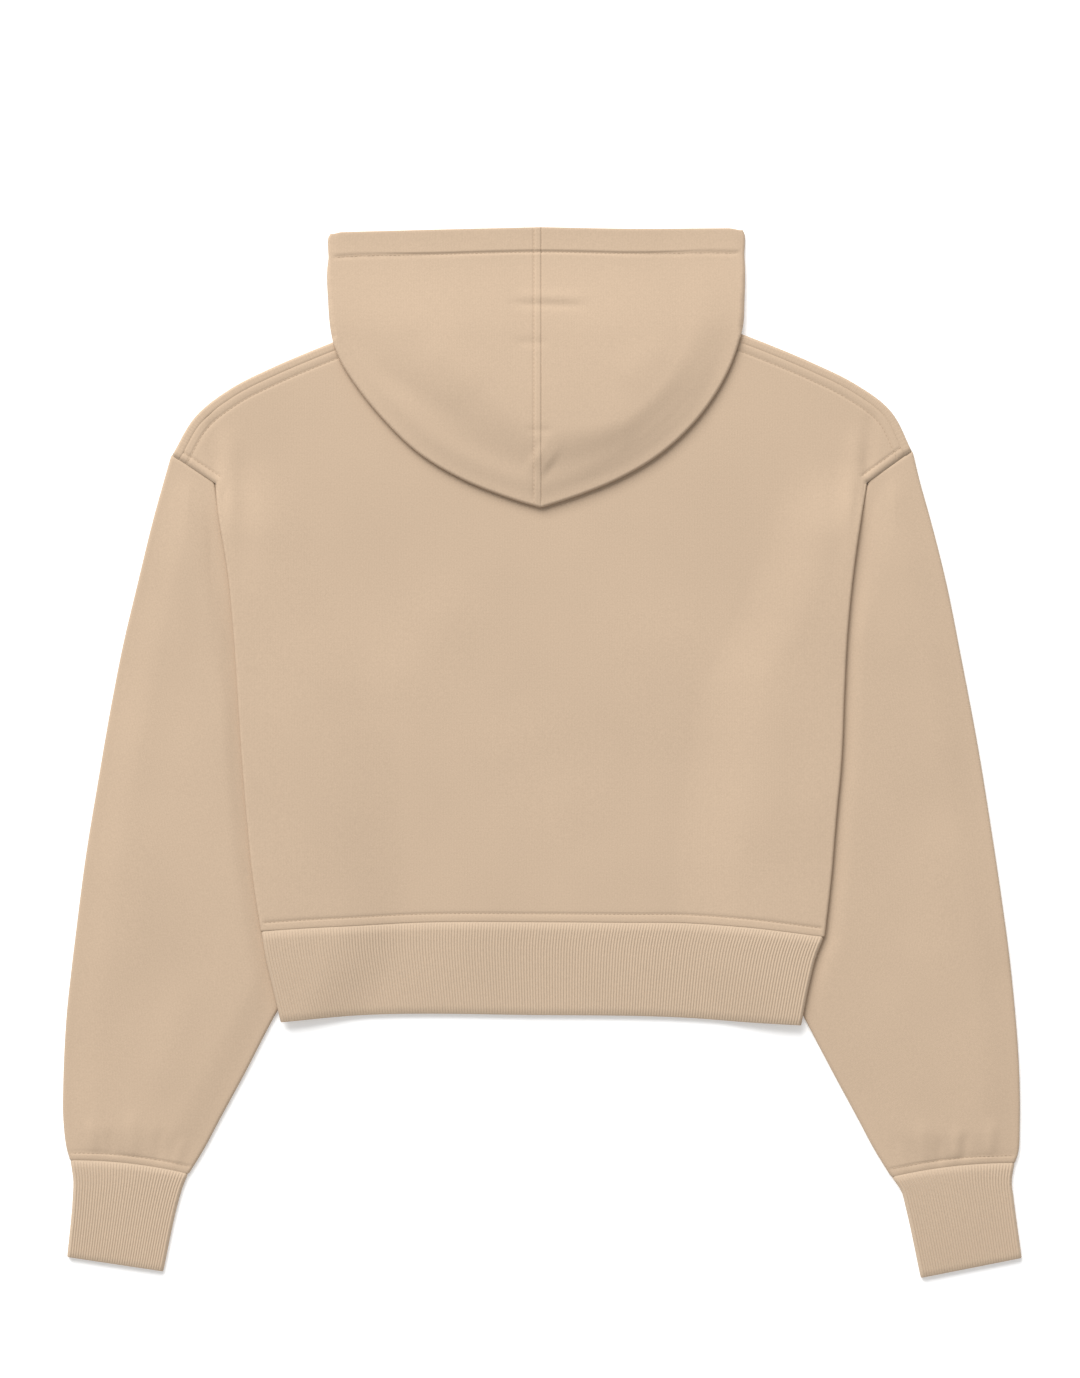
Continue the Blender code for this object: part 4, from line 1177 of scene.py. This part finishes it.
hood_left = make_hood_half("hood_left_cloth", -1)
hood_right = make_hood_half("hood_right_cloth", 1)

# %% [markdown]
# ## Stitches
#
# Beside every seam runs a row of lockstitches, about eight to the inch, in thread of the cloth's own
# colour. Geometry Nodes set one small stitch after another along each line. The lines are dropped
# onto the cloth first, so that every stitch lies on the surface it holds.

# %% Drop a line onto the cloth
def surface_of(*pieces):
    corners, polygons, count = [], [], 0
    for piece in pieces:
        corners += [vertex.co.copy() for vertex in piece.data.vertices]
        polygons += [[corner + count for corner in face.vertices] for face in piece.data.polygons]
        count += len(piece.data.vertices)
    return BVHTree.FromPolygons(corners, polygons)


SKY = 0.1


def dropped(line, surface, spacing=1.0, sink=0.05):
    """The line's points put on the surface below them, sunk a little."""
    steps = max(2, round(lengths_along(line)[-1] / spacing))
    found = []
    for x, y in along(np.asarray(line, float), np.linspace(0.0, 1.0, steps + 1)):
        hit = surface.ray_cast(Vector((x * MM, y * MM, SKY)), Vector((0, 0, -1)))[0]
        if hit is not None:
            found.append((hit.x, hit.y, hit.z - sink * MM))
    return found


# %% The stitch tree
STITCH_LENGTH, STITCH_PITCH, THREAD = 2.3, 3.1, 0.5


def thread_finish():
    made = bpy.data.materials.new("thread")
    made.use_nodes = True
    tree = made.node_tree
    shader = tree.nodes["Principled BSDF"]
    where = node(tree, "ShaderNodeTexCoord").outputs["Object"]
    twist = node(tree, "ShaderNodeTexNoise", {"Vector": where, "Scale": 1500.0, "Detail": 1.0})
    ramp = node(tree, "ShaderNodeValToRGB", {"Fac": twist.outputs["Fac"]})
    ramp.color_ramp.elements[0].color = shaded(THREAD_COLOUR, 0.85)
    ramp.color_ramp.elements[1].color = shaded(THREAD_COLOUR, 1.12)
    tree.links.new(ramp.outputs["Color"], shader.inputs["Base Color"])
    shader.inputs["Roughness"].default_value = 0.7
    return made


def stitch_tree(finish):
    """Sets one stitch after another along every line, and gives them the thread's finish."""
    tree = bpy.data.node_groups.new("rows_of_stitches", "GeometryNodeTree")
    face = tree.interface
    face.new_socket("Lines", in_out="INPUT", socket_type="NodeSocketGeometry")
    for name in ("Pitch", "Length", "Thread"):
        face.new_socket(name, in_out="INPUT", socket_type="NodeSocketFloat")
    face.new_socket("Stitches", in_out="OUTPUT", socket_type="NodeSocketGeometry")
    given = node(tree, "NodeGroupInput").outputs
    curves = node(tree, "GeometryNodeMeshToCurve", {"Mesh": given["Lines"]})
    spots = node(tree, "GeometryNodeCurveToPoints", {"Curve": curves.outputs[0], "Length": given["Pitch"]},
                 mode="LENGTH")
    turned = node(tree, "FunctionNodeAlignRotationToVector", {"Vector": spots.outputs["Tangent"]}, axis="X")
    ball = node(tree, "GeometryNodeMeshUVSphere", {"Segments": 8, "Rings": 5, "Radius": 0.5})
    size = node(tree, "ShaderNodeCombineXYZ",
                {"X": given["Length"], "Y": given["Thread"], "Z": given["Thread"]})
    stitch = node(tree, "GeometryNodeTransform", {"Geometry": ball.outputs[0], "Scale": size.outputs[0]})
    rows = node(tree, "GeometryNodeInstanceOnPoints", {"Points": spots.outputs["Points"],
                                                       "Instance": stitch.outputs[0],
                                                       "Rotation": turned.outputs[0]})
    real = node(tree, "GeometryNodeRealizeInstances", {"Geometry": rows.outputs[0]})
    done = node(tree, "GeometryNodeSetMaterial", {"Geometry": real.outputs[0], "Material": finish})
    node(tree, "NodeGroupOutput", {"Stitches": done.outputs[0]})
    return tree


thread = thread_finish()
stitches_of_thread = stitch_tree(thread)


def input_named(tree, name):
    return next(item.identifier for item in tree.interface.items_tree
                if item.name == name and item.in_out == "INPUT")


def sewn(name, lines):
    """One piece with every stitch of these lines, as a plain mesh."""
    corners, edges = [], []
    for line in lines:
        edges += [(len(corners) + k, len(corners) + k + 1) for k in range(len(line) - 1)]
        corners += line
    mesh = bpy.data.meshes.new(name + "_lines")
    mesh.from_pydata(corners, edges, [])
    holder = bpy.data.objects.new(name + "_lines", mesh)
    bpy.context.scene.collection.objects.link(holder)
    rows = holder.modifiers.new("rows", "NODES")
    rows.node_group = stitches_of_thread
    for key, value in (("Pitch", STITCH_PITCH), ("Length", STITCH_LENGTH), ("Thread", THREAD)):
        rows[input_named(stitches_of_thread, key)] = value * MM
    graph = bpy.context.evaluated_depsgraph_get()
    made = bpy.data.meshes.new_from_object(holder.evaluated_get(graph))
    made.name = name
    made.shade_smooth()
    bpy.data.objects.remove(holder, do_unlink=True)
    piece = bpy.data.objects.new(name, made)
    bpy.context.scene.collection.objects.link(piece)
    print(f"{name}: {len(made.polygons)} faces on {len(lines)} lines")
    return piece


# %% Sew the body, sleeves and hood
def sleeve_stitch_line(seam):
    return seam[1:-1] + sideways(seam, BODY_MIDDLE)[1:-1] * CUFF_STITCH


def hood_stitch_lines():
    hem = hood_top_line() - (0.0, HEM_TURN)
    seam = np.array([(CENTRE - SEAM_PRESS, 375.5), (CENTRE - SEAM_PRESS, 180.0)])
    return [hem[4:-4], seam]


back_surface = surface_of(back_panel)
body_stitches = sewn("body_stitches", [dropped(line, back_surface) for line in body_stitch_lines()])
cuff_stitches = [
    sewn("cuff_left_stitches", [dropped(sleeve_stitch_line(cuff_seam_left), surface_of(sleeve_left))]),
    sewn("cuff_right_stitches", [dropped(sleeve_stitch_line(cuff_seam_right), surface_of(sleeve_right))]),
]
hood_surface = surface_of(hood_left, hood_right)
hood_stitches = sewn("hood_stitches", [dropped(line, hood_surface) for line in hood_stitch_lines()])

# %% [markdown]
# ## Which piece stands for which solid
#
# Each shell replaces its solid and rides on the one body. The table also lists, for each, a slot of the
# record and how large its cloth was before it was sewn and laid down; nothing below reads these.

# %% Tell the frame about the pieces
Cut = namedtuple("Cut", "piece node slot width length area")
CUTS = [
    Cut(back_panel, "back_panel", "sweatshirt_cloth", 0.54, 0.45, 0.185),
    Cut(front_panel, "front_panel", "sweatshirt_cloth", 0.54, 0.46, 0.182),
    Cut(sleeve_left, "sleeve_left", "sweatshirt_cloth", 0.36, 0.52, 0.123),
    Cut(sleeve_right, "sleeve_right", "sweatshirt_cloth", 0.36, 0.52, 0.124),
    Cut(cuff_left, "cuff_left", "rib_knit", 0.16, 0.072, 0.0112),
    Cut(cuff_right, "cuff_right", "rib_knit", 0.17, 0.075, 0.0118),
    Cut(hem_band, "hem_rib", "rib_knit", 0.80, 0.068, 0.053),
    Cut(hood_left, "hood_left", "sweatshirt_cloth", 0.25, 0.26, 0.045),
    Cut(hood_right, "hood_right", "sweatshirt_cloth", 0.25, 0.26, 0.044),
]
for cut in CUTS:
    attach(cut.piece, "root")
    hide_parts(cut.node)
for piece in (body_stitches, *cuff_stitches, hood_stitches):
    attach(piece, "root")

# %% [markdown]
# ## Floor, light and camera
#
# The garment is seen from straight above on a bright, plain ground. Light comes from a large soft
# panel over the top left and from all round, so that shadows are faint and only the folds are dark.

# %% Floor
FLOOR_GLOW = 0.22        # the floor is lit a little from below, so shadows stay pale


def floor_finish():
    made = bpy.data.materials.new("pale_floor")
    made.use_nodes = True
    tree = made.node_tree
    shader = tree.nodes["Principled BSDF"]
    where = node(tree, "ShaderNodeTexCoord").outputs["Object"]
    cloud = node(tree, "ShaderNodeTexNoise", {"Vector": where, "Scale": 3.0})
    ramp = node(tree, "ShaderNodeValToRGB", {"Fac": cloud.outputs["Fac"]})
    ramp.color_ramp.elements[0].color = (0.925, 0.925, 0.922, 1.0)
    ramp.color_ramp.elements[1].color = (0.935, 0.935, 0.932, 1.0)
    tree.links.new(ramp.outputs["Color"], shader.inputs["Base Color"])
    shader.inputs["Roughness"].default_value = 0.9
    shader.inputs["Specular IOR Level"].default_value = 0.1
    shader.inputs["Emission Color"].default_value = (1.0, 1.0, 1.0, 1.0)
    shader.inputs["Emission Strength"].default_value = FLOOR_GLOW
    return made


FLOOR_SIDE = 6.0
floor_mesh = bpy.data.meshes.new("floor")
half_floor = FLOOR_SIDE / 2
floor_mesh.from_pydata([(-half_floor, -half_floor, 0), (half_floor, -half_floor, 0),
                        (half_floor, half_floor, 0), (-half_floor, half_floor, 0)], [], [(0, 1, 2, 3)])
floor_mesh.materials.append(floor_finish())
floor = bpy.data.objects.new("floor", floor_mesh)
bpy.context.scene.collection.objects.link(floor)

# %% Light
world = bpy.data.worlds.new("studio")
world.use_nodes = True
world.node_tree.nodes["Background"].inputs["Color"].default_value = (1.0, 1.0, 1.0, 1.0)
world.node_tree.nodes["Background"].inputs["Strength"].default_value = 0.50
bpy.context.scene.world = world
bpy.context.scene.view_settings.view_transform = "Standard"


def soft_panel(name, place, size, power):
    """A square lamp that faces the middle of the garment."""
    lamp = bpy.data.lights.new(name, "AREA")
    lamp.shape, lamp.size, lamp.energy = "SQUARE", size, power
    holder = bpy.data.objects.new(name, lamp)
    holder.location = place
    holder.rotation_euler = (-Vector(place)).to_track_quat("-Z", "Y").to_euler()
    bpy.context.scene.collection.objects.link(holder)
    return holder


soft_panel("key_panel", (-3.0, 7.0, 6.3), 7.0, 1300.0)

# %% Camera
VIEW_CENTRE = (-1.8, 45.36)     # what the middle of the picture shows
VIEW_HEIGHT = 992.2             # how much of the floor the picture shows, from bottom to top
CAMERA_HEIGHT = 3.6             # metres over the floor
lens = bpy.data.cameras.new("camera")
lens.sensor_fit = "AUTO"
lens.sensor_width = 36.0
lens.lens = lens.sensor_width * (CAMERA_HEIGHT - 0.004) / (VIEW_HEIGHT * MM)
camera = bpy.data.objects.new("camera", lens)
camera.location = (VIEW_CENTRE[0] * MM, VIEW_CENTRE[1] * MM, CAMERA_HEIGHT)
bpy.context.scene.collection.objects.link(camera)
bpy.context.scene.camera = camera
print(f"lens {lens.lens:.1f} mm at {CAMERA_HEIGHT} m")
